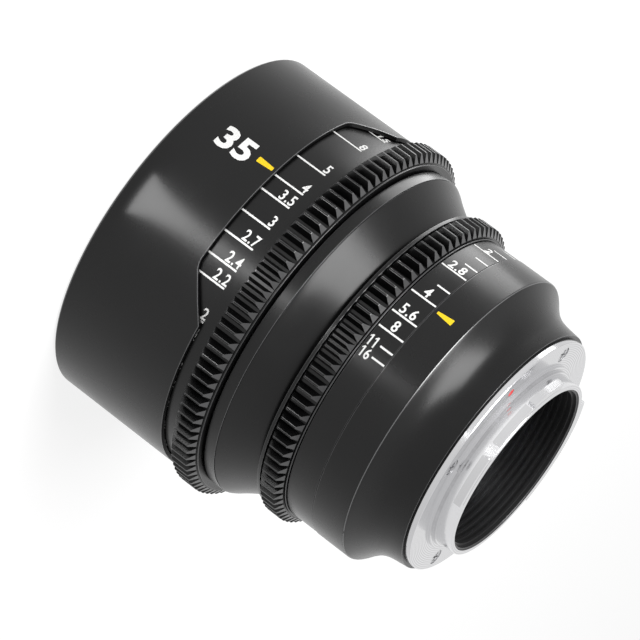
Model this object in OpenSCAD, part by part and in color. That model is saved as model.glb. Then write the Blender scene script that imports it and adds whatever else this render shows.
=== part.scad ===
// Cine prime lens for a mirrorless camera, with geared focus and iris rings, standing on its front rim.
// The optical axis is +Z from the subject to the camera, the origin is the centre of the front rim,
// and both index marks face -Y. At rest the focus ring reads 4 ft and the iris ring reads T4.

/* [Tube stack, from the inside out] */
// Bore of the inner barrel, in which the focusing cell slides
bore_d = 62; // [54:0.5:74]
// Wall of the inner barrel
tube_wall = 2.5; // [1.8:0.1:3.5]
// Wall of the cam sleeve that turns on the inner barrel
sleeve_wall = 1.95; // [1.5:0.05:2.6]
// Height of the focus scale over the cam sleeve
scale_rise = 5.35; // [4.4:0.05:6.8]
// Thickness of the focus ring's skirt, which carries the scale
skirt_t = 1.5; // [1:0.1:2]
// Gap between the focus scale and the front barrel's skirt
skirt_gap = 0.25; // [0.2:0.01:0.35]
// Wall of the front barrel's skirt over the scale
skirt_wall = 0.9; // [0.7:0.05:1.4]
// Wall of the iris ring under its scale
iris_ring_wall = 1.55; // [1.3:0.05:2.2]

/* [Front barrel] */
// Length of the front barrel, from the rim to its rear edge
barrel_len = 30; // [26:0.5:38]
// Pitch of the filter thread in the front rim
thread_pitch = 0.75; // [0.6:0.05:0.9]
// Height of the filter thread
thread_h = 0.42; // [0.3:0.02:0.5]
// Number of turns of the filter thread
thread_turns = 6; // [4:1:7]
// Depth of the scale window from the barrel's rear edge
window_depth = 7.2; // [5.8:0.1:8.8]
// Corner radius of the scale window
window_round = 2; // [1.4:0.1:2.6]
// Thickness of the front barrel's inner web
web_t = 3; // [2.2:0.1:3.8]
// Thickness of the inner barrel's front flange
flange_t = 2; // [1.6:0.1:2.6]

/* [Gears] */
// Module of both follow-focus gears
gear_module = 0.8; // [0.66:0.01:0.96]
// Face width of the focus gear
focus_gear_w = 4.9; // [4:0.1:6]
// Height of the focus gear's pitch circle over the scale
focus_gear_rise = 1.95; // [1.6:0.05:2.4]
// Face width of the iris gear
iris_gear_w = 4.4; // [3.6:0.1:5.4]
// Height of the iris gear's pitch circle over the iris scale
iris_gear_rise = 1.7; // [1.4:0.05:2.1]
// Chamfer on the front end of the teeth
tooth_chamfer = 0.9; // [0.7:0.05:1.1]

/* [Focus ring] */
// Length of bare scale between the front barrel and the focus gear
focus_strip = 3.1; // [2.4:0.1:3.8]
// Land behind the focus gear
focus_tail = 0.6; // [0.5:0.05:0.8]
// Thickness of the cam sleeve's flange
sleeve_flange_t = 1.6; // [1.3:0.1:2]
// Groove that shows between the focus ring and the mid barrel
focus_groove = 1.5; // [1.35:0.05:1.8]
// Axial lead of the focusing cam for one full turn
cam_lead = 8.5; // [7:0.1:10]

/* [Mid barrel] */
// Length of the mid barrel
mid_len = 11.05; // [9.4:0.05:13]
// Width of the mid barrel's straight collar
mid_collar = 2.6; // [2.1:0.05:3.1]
// Depth of the pocket in the mid barrel's front face
mid_pocket = 2.9; // [2.7:0.05:3.4]
// Wall of the mid barrel at its rear edge
mid_end_wall = 1.1; // [0.9:0.05:1.4]
// Wall of the mid barrel's collar round the pocket
mid_rim = 1.2; // [1:0.05:1.5]

/* [Iris ring] */
// Collar in front of the iris gear
iris_collar = 0.9; // [0.7:0.05:1.1]
// Small step ring between the iris gear and its scale
iris_step = 1.55; // [1.2:0.05:1.9]
// Width of the iris scale band
iris_band = 6.7; // [5.5:0.1:8]

/* [Rear barrel] */
// Length of the fixed band behind the iris ring
rear_band = 7.9; // [6.6:0.1:9.4]
// Length of the shoulder and neck behind the band
neck_len = 11.15; // [9.2:0.05:13]
// Height of the neck over the edge of the mount's flange
neck_rise = 0.75; // [0.5:0.05:1.2]
// Rounding of the edge between the band and the shoulder
shoulder_round = 0.5; // [0.3:0.1:0.8]
// Thickness of the rear barrel's inner web
rear_web_t = 2.6; // [2:0.1:3.2]
// Length of the inner barrel held in the rear barrel
rear_socket = 3.4; // [2.8:0.1:4]

/* [Bayonet mount] */
// Width of the bayonet flange, from its tube to its edge
flange_w = 7.3; // [6.4:0.1:8.4]
// Thickness of the bayonet flange
mount_flange_t = 1.3; // [1.1:0.05:1.6]
// Thickness of the mount shim
shim_t = 0.2; // [0.15:0.01:0.25]
// Outer diameter of the bayonet tube
bayonet_d = 42.8; // [42:0.1:44]
// Length of the bayonet tube behind the flange
bayonet_len = 4.8; // [4:0.1:5.8]
// Height of the bayonet lugs over the tube
lug_rise = 1.55; // [1.2:0.05:1.9]
// Thickness of each bayonet lug
lug_t = 1.7; // [1.4:0.1:2.1]
// Wall of the bayonet tube
bayonet_wall = 1.1; // [0.9:0.05:1.3]

/* [Iris] */
// Number of iris blades
blade_count = 9; // [7:1:9]
// Radius of the iris hole when it is wide open
iris_open_r = 11.6; // [9.8:0.1:13]
// Width of an iris blade
blade_w = 5; // [4.2:0.1:5.6]
// Thickness of an iris blade
blade_t = 0.12; // [0.1:0.01:0.14]
// Distance from one blade's layer to the next
blade_pitch = 0.18; // [0.16:0.01:0.22]
// Radius of the blade pins
blade_pin_r = 0.45; // [0.37:0.01:0.54]
// Distance from a blade's pivot pin to its drive pin
drive_arm = 6.5; // [5.6:0.1:7.4]

/* [Fasteners] */
// Thread radius of the small screws
screw_r = 0.8; // [0.65:0.05:0.95]
// Head radius of the small screws
head_r = 1.4; // [1.15:0.05:1.7]
// Head height of the small screws
head_h = 1; // [0.8:0.05:1.15]
// Thread radius of the mount screws
mount_screw_r = 0.95; // [0.8:0.05:1.1]
// Head radius of the mount screws
mount_head_r = 1.75; // [1.45:0.05:2.05]

/* [Hidden] */
$fn = 120;

// Overrun of every cut, radial gap of a running fit, gap of a seat within one body, and axial play
over = 1;
run_gap = 0.05;
seat_gap = 0.03;
play = 0.05;
// Small edge break of the turned parts
edge = 0.15;

// Angles: the index marks, the focus throw to the near and far stops, the iris throw to T1.5 and T16
index_a = -90;
near_a = 107;
far_a = 58;
open_a = 63;
closed_a = 27;
blade_swing = 33.3;
half_window_front = 34;
half_window_rear = 48;

// Radii of the tube stack
bore_r = bore_d / 2;
tube_r = bore_r + tube_wall;
sleeve_in = tube_r + run_gap;
sleeve_r = sleeve_in + sleeve_wall;
scale_r = sleeve_r + scale_rise;
skirt_in = scale_r - skirt_t;
barrel_in = scale_r + skirt_gap;
barrel_r = barrel_in + skirt_wall;
thread_in = barrel_r - 2 * skirt_wall + thread_h;
iris_band_r = tube_r + run_gap + iris_ring_wall;

// Radii of the mount and of the neck in front of it
bayonet_r = bayonet_d / 2;
bayonet_in = bayonet_r - bayonet_wall;
lug_r = bayonet_r + lug_rise;
flange_r = bayonet_r + flange_w;
neck_r = flange_r + neck_rise;

// Tooth counts and radii of the gears, from the standard proportions of a tooth
focus_teeth = round(2 * (scale_r + focus_gear_rise) / gear_module);
iris_teeth = round(2 * (iris_band_r + iris_gear_rise) / gear_module);
addendum_share = 1;
dedendum_share = 1.25;
tip_share = 0.11;
root_share = 0.38;
function tip_radius(teeth) = gear_module * (teeth / 2 + addendum_share);
function root_radius(teeth) = gear_module * (teeth / 2 - dedendum_share);

// Stations along the axis, front to rear: the skirt's lap under the barrel, then washers and gaps
skirt_lap = 2.5;
flange_gap = 1.3;
skirt_z = barrel_len - window_depth - skirt_lap;
flange_z1 = skirt_z - flange_gap;
flange_z0 = flange_z1 - flange_t;
web_z = flange_z0 - web_t;
washer_t = 0.5;
sleeve_z0 = flange_z1 + washer_t + play;
focus_gear_z = barrel_len + focus_strip;
focus_tail_z = focus_gear_z + focus_gear_w;
focus_end_z = focus_tail_z + focus_tail;
sleeve_flange_z = focus_end_z + sleeve_flange_t;
mid_z = focus_end_z + focus_groove;
mid_web_z = mid_z + mid_pocket;
sleeve_z1 = mid_web_z - washer_t - play;
mid_end_z = mid_z + mid_len;
ring_washer_t = 0.2;
iris_z0 = mid_end_z + ring_washer_t + play;
iris_gear_z = iris_z0 + iris_collar;
iris_gear_end = iris_gear_z + iris_gear_w;
iris_band_z = iris_gear_end + iris_step;
iris_end_z = iris_band_z + iris_band;
rear_gap = 0.1;
rear_z = iris_end_z + rear_gap;
rear_web_z = rear_z + rear_socket;
rear_cell_z = rear_web_z + rear_web_t;
band_end_z = rear_z + rear_band;
neck_end_z = band_end_z + neck_len;
mount_z = neck_end_z + shim_t;
flange_face_z = mount_z + mount_flange_t;
rim_z = flange_face_z + bayonet_len;

// Focus travel, in lengths along the axis
near_travel = cam_lead * near_a / 360;
far_travel = cam_lead * far_a / 360;

// Rollers of the focusing cam: three, a third of a turn apart, each in its own row
roller_r = 1.5;
roller_row = 3.6;
roller_count = 3;
roller_first_a = 30;
roller_station_share = 0.58;
roller_mid_z = sleeve_z0 + (sleeve_z1 - sleeve_z0) * roller_station_share;
roller_top_gap = 0.2;
roller_socket_d = 9;
roller_screw_len = 5.4;
function roller_z(k) = roller_mid_z + (k - 1) * roller_row;
function roller_a(k) = roller_first_a + 360 * k / roller_count;

// Iris stack: housing plate, blades in layers, cam ring and retainer
iris_pin_share = 0.68;
iris_pin_z = iris_gear_z + iris_gear_w * iris_pin_share;
iris_cam_t = 2;
iris_cam_z = iris_pin_z - iris_cam_t / 2;
cam_blade_gap = 0.13;
blade_z = iris_cam_z - cam_blade_gap - blade_count * blade_pitch;
housing_t = 1.5;
housing_z = blade_z - play - housing_t;
iris_cam_end = iris_cam_z + iris_cam_t;
iris_retainer_z = iris_cam_end + 2 * play;
iris_retainer_t = 1;
housing_end = iris_retainer_z + iris_retainer_t + 2 * play;
pivot_clear = 1.15;
pivot_r = iris_open_r + blade_w + blade_pin_r + pivot_clear;
ear_wall = 0.55;
ear_r = blade_pin_r + ear_wall;
rim_clear = 3.5;
housing_rim_r = pivot_r + drive_arm / 2 + rim_clear - ear_wall / 2;
housing_rim_wall = 2;
housing_lip = 0.4;
housing_open_r = iris_open_r + housing_lip;
cam_web = 3;
cam_open_r = pivot_r - drive_arm / 2 - cam_web + ear_wall;
drive_pin_r = 1.2;
pin_slot_r = drive_pin_r + run_gap;

// Radii of the glass, stepped in from the walls that hold it
cell_r = bore_r - run_gap;
front_cell_wall = 1.4;
second_step = 4.6;
focus_cell_wall = 10.5;
focus_second_step = 2.5;
rear_cell_rise = 1.7;
rear_cell_wall = 3.2;
group_step = 2;
front_glass_r = bore_r - front_cell_wall;
second_glass_r = front_glass_r - second_step;
focus_glass_r = bore_r - focus_cell_wall;
focus_second_r = focus_glass_r - focus_second_step;
rear_cell_r = bayonet_in + rear_cell_rise;
rear_glass_r = rear_cell_r - rear_cell_wall;
group_glass_r = rear_glass_r - group_step;

// Radii of each element's front and rear faces, as shares of its own radius; a hollow face is negative
front_curve_shares = [2.6, -1.9];
second_curve_shares = [6, -3.2];
focus_curve_shares = [3, 4.6];
focus_second_curve_shares = [2.8, -2.6];
group_curve_shares = [-3.4, 2.4];
rear_curve_shares = [2.6, 4];

// Stations of the cells and of each element's edge, and the edges' thicknesses
cell_lip = 1.2;
rim_flat = 0.4;
glass_gap = 0.05;
front_edge_t = 3;
front_seat = 0.6;
front_edge_z = web_z + front_seat;
front_collar = 2.4;
cell_front_z = front_edge_z - front_collar;
cell_clear = 0.45;
cell_land = 0.75;
front_cell_end = roller_z(0) - roller_r - near_travel - cell_clear - cell_land;
second_edge_t = 3;
second_seat = 2.6;
second_z = front_cell_end - second_edge_t - second_seat;
focus_cell_z = front_cell_end + near_travel + cell_clear;
iris_clear = 0.8;
focus_cell_end = housing_z - far_travel - iris_clear;
focus_edge_t = 3.4;
focus_collar = 2.4;
focus_glass_z = focus_cell_z + focus_collar;
focus_second_t = 4;
focus_second_collar = 2.2;
focus_second_z = focus_cell_end - focus_second_t - focus_second_collar;
rear_cell_gap = 1.6;
rear_cell_front = housing_end + rear_cell_gap;
baffle_reach = 4.1;
baffle_z = neck_end_z - baffle_reach;
baffle_gap = 0.6;
rear_cell_end = baffle_z - baffle_gap;
group_collar = 1.8;
group_z = rear_cell_front + group_collar;
group_edge_t = 4;
rear_edge_t = 3;
rear_collar = 2.4;
rear_edge_z = rear_cell_end - rear_edge_t - rear_collar;
rear_flange_w = 4.4;
rear_flange_r = rear_cell_r + rear_flange_w;
rear_flange_t = 1.6;
retainer_inset = 0.3;

// Mount ring details; each lug has its middle angle and its width in degrees
step_lap = 0.1;
step_r = lug_r + step_lap;
step_h = 0.6;
inner_step_w = 0.7;
inner_step_r = bayonet_r + inner_step_w;
inner_step_h = 1.1;
mount_hole_gap = 0.6;
mount_hole_r = rear_cell_r + mount_hole_gap;
mount_screw_inset = 3;
mount_screw_pcr = flange_r - mount_screw_inset;
mount_screw_len = 4;
mount_screw_angles = [-135.5, -46.5, 44.5, 135];
mount_head_share = 0.4;
mount_head_z = mount_z + mount_flange_t * mount_head_share;
mount_head_sink = 0.15;
lug_angles = [[-95, 56], [-44, 30], [142, 70]];
dot_r = 0.9;
dot_depth = 0.5;
notch_w = 1.1;
notch_depth = 0.7;

// Screw circles and counts
web_screw_count = 6;
web_screw_inset = 1;
web_screw_at = (tube_r + barrel_in) / 2 - web_screw_inset;
sleeve_screw_first_a = 45;
sleeve_screw_gap = 0.1;
sleeve_screw_at = sleeve_r + head_r + sleeve_screw_gap;
sleeve_screw_depth = 3.2;
sleeve_flange_rim = 0.05;
stop_pin_a = 15;
stop_pin_share = 0.85;
stop_pin_r = head_r * stop_pin_share;
stop_pin_shift = 0.35;
stop_pin_clear = 0.3;
housing_screw_first_a = 60;
housing_screw_d = 2.2;
rear_screw_first_a = 15;
rear_screw_share = 0.28;
rear_screw_r = tube_wall * rear_screw_share;
rear_head_share = 0.53;
rear_head_r = tube_wall * rear_head_share;
rear_screw_at = (bore_r + tube_r) / 2;
cell_screw_first_a = 30;
cell_screw_inset = 1.8;
cell_screw_at = rear_flange_r - cell_screw_inset;
iris_pin_a = 90;
iris_pin_socket = 3;
pin_seat_share = 0.7;
pin_hole_share = 0.78;
washer_rim = 0.2;

// Outline helpers
function polar(r, a) = [r * cos(a), r * sin(a)];
function arc(centre, r, a0, a1, steps) =
    [for (i = [0:steps]) centre + polar(r, a0 + (a1 - a0) * i / steps)];

// A solid of revolution from an outline of [radius, height] points
module turned(outline) {
    rotate_extrude() polygon(outline);
}

// A plain tube between two stations
module tube(r_out, r_in, z0, z1) {
    translate([0, 0, z0])
        difference() {
            cylinder(h = z1 - z0, r = r_out);
            translate([0, 0, -over]) cylinder(h = z1 - z0 + 2 * over, r = r_in);
        }
}

// A pin along the axis between two stations, at a radius and an angle
module axial_pin(r, at_r, at_a, z0, z1) {
    rotate([0, 0, at_a]) translate([at_r, 0, z0]) cylinder(h = z1 - z0, r = r, $fn = 32);
}

// A pin pointing outwards between two radii, at an angle and a height
module radial_pin(r, r0, r1, at_a, z) {
    rotate([0, 0, at_a]) translate([r0, 0, z]) rotate([0, 90, 0]) cylinder(h = r1 - r0, r = r, $fn = 32);
}

// A ring sector between two angles
module sector(r_out, r_in, z0, z1, a0, a1) {
    rotate([0, 0, a0])
        rotate_extrude(angle = a1 - a0)
            polygon([[r_in, z0], [r_out, z0], [r_out, z1], [r_in, z1]]);
}

// A screw along the axis, with its slotted head on the +Z side of z
module axial_screw(at_r, at_a, z_tip, z) {
    difference() {
        union() {
            axial_pin(screw_r, at_r, at_a, z_tip, z + head_h / 2);
            axial_pin(head_r, at_r, at_a, z, z + head_h);
        }
        rotate([0, 0, at_a])
            translate([at_r, 0, z + head_h])
                cube([screw_r / 2, 2 * head_r + over, head_h], center = true);
    }
}

// Depth of a face of the given radius at a distance from the axis, and how far a full face
// stands proud of its edge at the inside of the lip that holds it
function sag(face_r, r) = abs(face_r) - sqrt(pow(face_r, 2) - pow(r, 2));
function crown(r, share) = share > 0 ? sag(share * r, r) - sag(share * r, r - cell_lip) : 0;

// A lens: full or hollow faces on an edge cylinder, with its curve shares for the two faces
module glass(r, edge_z0, edge_z1, curve_shares) {
    front_radius = curve_shares[0] * r;
    rear_radius = curve_shares[1] * r;
    z0 = edge_z0 - (front_radius > 0 ? sag(front_radius, r) + over : 0);
    z1 = edge_z1 + (rear_radius > 0 ? sag(rear_radius, r) + over : 0);
    difference() {
        intersection() {
            translate([0, 0, z0]) cylinder(h = z1 - z0, r = r);
            if (front_radius > 0)
                translate([0, 0, edge_z0 - sag(front_radius, r) + front_radius]) sphere(r = front_radius);
            if (rear_radius > 0)
                translate([0, 0, edge_z1 + sag(rear_radius, r) - rear_radius]) sphere(r = rear_radius);
        }
        if (front_radius < 0)
            translate([0, 0, edge_z0 + sag(front_radius, r - rim_flat) + front_radius])
                sphere(r = -front_radius);
        if (rear_radius < 0)
            translate([0, 0, edge_z1 - sag(rear_radius, r - rim_flat) - rear_radius])
                sphere(r = -rear_radius);
    }
}

// Outline of a gear's teeth as straight-sided trapezoids
function gear_outline(teeth) =
    [for (i = [0:teeth - 1], side = [[-root_share, 0], [-tip_share, 1], [tip_share, 1], [root_share, 0]])
        polar(side[1] == 1 ? tip_radius(teeth) : root_radius(teeth), 360 * (i + side[0]) / teeth)];

// A gear whose teeth are chamfered at the front end, bored to r_in
module gear(teeth, z, w, r_in) {
    tip = tip_radius(teeth);
    intersection() {
        translate([0, 0, z])
            linear_extrude(height = w)
                difference() {
                    polygon(gear_outline(teeth));
                    circle(r = r_in);
                }
        turned([[0, z - over], [tip - tooth_chamfer - over, z - over], [tip + over, z + tooth_chamfer + over],
            [tip + over, z + w + over], [0, z + w + over]]);
    }
}

// Front barrel: outer shell, filter thread, inner web and scale window
module front_barrel() color([0.07, 0.07, 0.075]) {
    rim_chamfer = 0.4;
    mouth_share = 0.375;
    root_flat_share = 0.125;
    relief_r = thread_in + thread_h;
    relief_z = (thread_turns + 1 / 2) * thread_pitch + edge;
    difference() {
        turned([[thread_in + rim_chamfer, 0], [barrel_r - rim_chamfer, 0], [barrel_r, rim_chamfer],
            [barrel_r, barrel_len - edge], [barrel_r - edge, barrel_len],
            [barrel_in, barrel_len], [barrel_in, web_z + web_t], [tube_r + seat_gap, web_z + web_t],
            [tube_r + seat_gap, web_z], [relief_r, web_z], [relief_r, relief_z], [thread_in, relief_z],
            [thread_in, rim_chamfer]]);
        for (i = [0:thread_turns - 1])
            translate([0, 0, (i + 1) * thread_pitch])
                turned([for (q = [[-over, -mouth_share], [0, -mouth_share], [thread_h, -root_flat_share],
                    [thread_h, root_flat_share], [0, mouth_share], [-over, mouth_share]])
                        [thread_in + q[0], thread_pitch * q[1]]]);
        web_screw_holes(web_z, web_z + web_t);
        scale_window();
    }
}

// Holes for the screws that hold the front barrel's web on the inner barrel's flange
module web_screw_holes(z0, z1) {
    for (i = [0:web_screw_count - 1])
        axial_pin(screw_r + seat_gap, web_screw_at, 360 * i / web_screw_count, z0 - over, z1 + over);
}

// Cutter of the scale window: straight front edge, round corners and sides that slant to the rear edge
module scale_window() {
    z0 = barrel_len - window_depth;
    front_half = half_window_front * PI / 180 * barrel_r;
    rear_half = half_window_rear * PI / 180 * barrel_r;
    lean = atan2(window_depth, rear_half - front_half);
    run = over / tan(lean);
    flat_half = front_half - window_round * tan(lean / 2);
    corner = arc([flat_half, z0 + window_round], window_round, -90, -90 + lean, 6);
    start = corner[len(corner) - 1];
    end = [rear_half + run, barrel_len + over];
    side = concat(corner, [for (i = [1:8]) start + (end - start) * i / 8]);
    all = concat(side, [for (i = [len(side) - 1:-1:0]) [-side[i][0], side[i][1]]]);
    rotate([90, 0, 0])
        translate([0, 0, barrel_r / 2])
            linear_extrude(height = barrel_r / 2 + over)
                polygon([for (p = all) [barrel_r * sin(p[0] / barrel_r * 180 / PI), p[1]]]);
}

// Screws that hold the front barrel's web on the inner barrel's flange
module front_barrel_screws() color([0.55, 0.55, 0.56])
    for (i = [0:web_screw_count - 1])
        rotate([180, 0, 0])
            axial_screw(web_screw_at, -360 * i / web_screw_count, -flange_z1 + seat_gap, -web_z);

// Bezel round the front glass: a stepped black cone that traps stray light
module front_bezel() color([0.05, 0.05, 0.055]) {
    r_out = thread_in - seat_gap;
    r_in = front_glass_r + retainer_inset;
    z0 = (thread_turns + 1) * thread_pitch + edge;
    z1 = cell_front_z - seat_gap;
    wall = 1.1;
    steps = 5;
    slope = [for (i = [0:steps - 1], q = [0, 1])
        [r_out - wall - (r_out - wall - r_in) * (i + q) / steps, z0 + (z1 - wall - z0) * (i + 0.5) / steps]];
    turned(concat([[r_out, z1], [r_out, z0], [r_out - wall, z0]], slope, [[r_in, z1]]));
}

// Cell of the two front elements, screwed into the inner barrel's bore
module front_cell() color([0.1, 0.1, 0.105]) {
    r_out = bore_r - seat_gap;
    seat_r = front_glass_r + glass_gap;
    second_seat_r = second_glass_r + glass_gap;
    lip_r = second_glass_r - cell_lip;
    shelf_z = front_edge_z + front_edge_t + glass_gap;
    stop_z = second_z + second_edge_t + glass_gap;
    turned([[r_out, cell_front_z], [r_out, front_cell_end], [lip_r, front_cell_end], [lip_r, stop_z],
        [second_seat_r, stop_z], [second_seat_r, shelf_z], [seat_r, shelf_z], [seat_r, cell_front_z]]);
}

// Threaded ring that holds the front element, with two spanner slots
module front_retainer() color([0.08, 0.08, 0.085]) {
    ring_t = front_collar - crown(front_glass_r, front_curve_shares[0]) - glass_gap;
    difference() {
        tube(front_glass_r, front_glass_r - cell_lip, cell_front_z, cell_front_z + ring_t);
        for (a = [0, 180])
            rotate([0, 0, a])
                translate([front_glass_r - cell_lip, 0, cell_front_z])
                    cube([2 * cell_lip, cell_lip, ring_t], center = true);
    }
}

module front_element() color([0.45, 0.55, 0.7, 0.5])
    glass(front_glass_r, front_edge_z, front_edge_z + front_edge_t, front_curve_shares);

module second_element() color([0.5, 0.6, 0.7, 0.5])
    glass(second_glass_r, second_z, second_z + second_edge_t, second_curve_shares);

// Inner barrel: the backbone, with straight guide slots for the rollers and a slot for the iris pin
module inner_barrel() color([0.62, 0.62, 0.64]) {
    flange_inset = 0.8;
    flange_r_out = skirt_in - flange_inset;
    guide_r = roller_r + run_gap;
    difference() {
        union() {
            tube(tube_r, bore_r, web_z, rear_web_z);
            tube(flange_r_out, bore_r, flange_z0, flange_z1);
        }
        web_screw_holes(flange_z0, flange_z1);
        for (k = [0:roller_count - 1]) {
            front_end = roller_z(k) - near_travel - run_gap;
            rear_end = roller_z(k) + far_travel + run_gap;
            radial_pin(guide_r, bore_r - over, tube_r + over, roller_a(k), front_end);
            radial_pin(guide_r, bore_r - over, tube_r + over, roller_a(k), rear_end);
            rotate([0, 0, roller_a(k)])
                translate([bore_r - over, -guide_r, front_end])
                    cube([tube_wall + 2 * over, 2 * guide_r, rear_end - front_end]);
        }
        iris_pin_slot(bore_r - over, tube_r + over);
        housing_screw_pins(screw_r + seat_gap, bore_r - over, tube_r + over);
        rear_screw_pins(rear_screw_r, rear_z, rear_web_z + over);
    }
}

// The three radial screws, or their holes, that hold the iris housing
module housing_screw_pins(r, r0, r1) {
    for (i = [0:2]) radial_pin(r, r0, r1, housing_screw_first_a + 120 * i, housing_z + housing_t / 2);
}

// The six axial screws, or their holes, between the rear barrel and the inner barrel's wall
module rear_screw_pins(r, z0, z1) {
    for (i = [0:5]) axial_pin(r, rear_screw_at, 60 * i + rear_screw_first_a, z0, z1);
}

// The three axial screws, or their holes, that hold the rear cell
module cell_screw_pins(r, z0, z1) {
    for (i = [0:2]) axial_pin(r, cell_screw_at, 120 * i + cell_screw_first_a, z0, z1);
}

// Slot that the iris drive pin sweeps, from T16 to T1.5, with round ends
module iris_pin_slot(r0, r1) {
    stop_a = 0.2;
    a0 = iris_pin_a - closed_a - stop_a;
    a1 = iris_pin_a + open_a + stop_a;
    sector(r1, r0, iris_pin_z - pin_slot_r, iris_pin_z + pin_slot_r, a0, a1);
    for (a = [a0, a1]) radial_pin(pin_slot_r - seat_gap, r0, r1, a, iris_pin_z);
}

// Thrust washers in front of and behind the cam sleeve
module focus_front_washer() color([0.72, 0.58, 0.3])
    tube(sleeve_r - washer_rim, tube_r + seat_gap, flange_z1, flange_z1 + washer_t);

module focus_rear_washer() color([0.72, 0.58, 0.3])
    tube(sleeve_r - washer_rim, tube_r + seat_gap, mid_web_z - washer_t, mid_web_z);

// Mid barrel: a collar, a fine groove and a long sloping shoulder down to the iris ring
module mid_barrel() color([0.09, 0.09, 0.095]) {
    pocket_clear = 0.5;
    pocket_r = sleeve_screw_at + head_r + pocket_clear;
    collar_r = pocket_r + mid_rim;
    end_r = tube_r + mid_end_wall;
    groove_w = 0.2;
    groove_d = 0.25;
    groove_z = mid_z + mid_collar;
    drop_z = groove_z + groove_w;
    top_r = collar_r - edge;
    drop_shares = [[0, 1], [0.055, 0.945], [0.125, 0.86], [0.245, 0.725], [0.365, 0.6], [0.485, 0.482],
        [0.605, 0.368], [0.725, 0.257], [0.845, 0.15], [1, 0]];
    drop = [for (s = drop_shares) [end_r + (top_r - end_r) * s[1], drop_z + (mid_end_z - drop_z) * s[0]]];
    turned(concat([[pocket_r, mid_z], [collar_r - edge, mid_z], [collar_r, mid_z + edge],
        [collar_r, groove_z - edge / 2], [collar_r - edge / 2, groove_z], [collar_r - groove_d, groove_z],
        [collar_r - groove_d, drop_z]], drop,
        [[tube_r + seat_gap, mid_end_z], [tube_r + seat_gap, mid_web_z], [pocket_r, mid_web_z]]));
    // Land in the pocket that stops the focus ring at both ends of its throw
    land_t = mid_web_z - sleeve_flange_z - head_h - stop_pin_clear;
    land_in = sleeve_screw_at - stop_pin_r;
    half_pin_a = asin((stop_pin_r + run_gap) / (sleeve_screw_at + stop_pin_shift));
    sector(pocket_r + edge, land_in, mid_web_z - land_t, mid_web_z + edge,
        stop_pin_a + far_a + half_pin_a, stop_pin_a - near_a - half_pin_a + 360);
}

// Slip washer between the mid barrel and the iris ring
module iris_ring_washer() color([0.72, 0.58, 0.3])
    tube(iris_band_r - washer_rim, tube_r + seat_gap, mid_end_z, mid_end_z + ring_washer_t);

// Iris housing: the pivot plate and the rim round the blades and the cam ring
module iris_housing() color([0.2, 0.2, 0.21]) {
    difference() {
        union() {
            tube(bore_r - seat_gap, housing_open_r, housing_z, housing_z + housing_t);
            tube(housing_rim_r + housing_rim_wall, housing_rim_r, housing_z + housing_t, housing_end);
        }
        for (k = [0:blade_count - 1])
            axial_pin(blade_pin_r + run_gap, pivot_r, 360 * k / blade_count,
                housing_z - over, housing_z + housing_t + over);
        iris_pin_slot(housing_rim_r - over, housing_rim_r + housing_rim_wall + over);
        housing_screw_pins(screw_r + seat_gap, bore_r - housing_screw_d, bore_r + over);
    }
}

module iris_housing_screws() color([0.5, 0.5, 0.51])
    housing_screw_pins(screw_r, bore_r - housing_screw_d + seat_gap, tube_r - seat_gap);

module iris_retainer() color([0.2, 0.2, 0.21])
    tube(housing_rim_r - seat_gap, cam_open_r, iris_retainer_z, iris_retainer_z + iris_retainer_t);

// Iris blades: a curved leaf on a pivot pin, with a drive pin on its ear
blade_ratio = blade_swing / (open_a + closed_a);
ear_start_a = 90 - blade_swing / 2;
blade_reach_a = 112;
blade_lead_a = 3;
brace_a = 16;
function pivot() = [pivot_r, 0];
function drive_open() = pivot() + polar(drive_arm, ear_start_a);
function drive_at(ring_a) = pivot() + polar(drive_arm, ear_start_a + blade_ratio * ring_a);

// A bar with round ends between two points
module bar(p, q, r) {
    gap = q - p;
    translate(p) circle(r = r, $fn = 24);
    translate(q) circle(r = r, $fn = 24);
    translate(p) rotate(atan2(gap[1], gap[0])) translate([0, -r]) square([norm(gap), 2 * r]);
}

module blade(k) {
    mid_r = iris_open_r + blade_w / 2;
    layer_z = blade_z + (k - 1) * blade_pitch;
    band = concat(arc([0, 0], iris_open_r + blade_w, -blade_lead_a, blade_reach_a, 24),
        arc([0, 0], iris_open_r, blade_reach_a, -blade_lead_a, 24));
    color([0.13, 0.13, 0.14])
        rotate([0, 0, 360 * (k - 1) / blade_count])
            translate([pivot_r, 0, 0])
                rotate([0, 0, blade_ratio * open_a])
                    translate([-pivot_r, 0, 0]) {
                        translate([0, 0, layer_z])
                            linear_extrude(height = blade_t) {
                                polygon(band);
                                translate(polar(mid_r, blade_reach_a)) circle(r = blade_w / 2, $fn = 40);
                                bar(pivot(), drive_open(), ear_r);
                                bar(pivot(), polar(mid_r, blade_lead_a), ear_r);
                                bar(drive_open(), polar(mid_r, brace_a), ear_r);
                            }
                        translate([pivot_r, 0, housing_z + play])
                            cylinder(h = layer_z - housing_z - play + blade_t / 2, r = blade_pin_r, $fn = 24);
                        translate([drive_open()[0], drive_open()[1], layer_z + blade_t / 2])
                            cylinder(h = iris_cam_end - play - layer_z - blade_t / 2, r = blade_pin_r, $fn = 24);
                    }
}

module iris_blade_1() blade(1);
module iris_blade_2() blade(2);
module iris_blade_3() blade(3);
module iris_blade_4() blade(4);
module iris_blade_5() blade(5);
module iris_blade_6() blade(6);
module iris_blade_7() blade(7);
module iris_blade_8() blade(8);
module iris_blade_9() blade(9);

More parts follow.
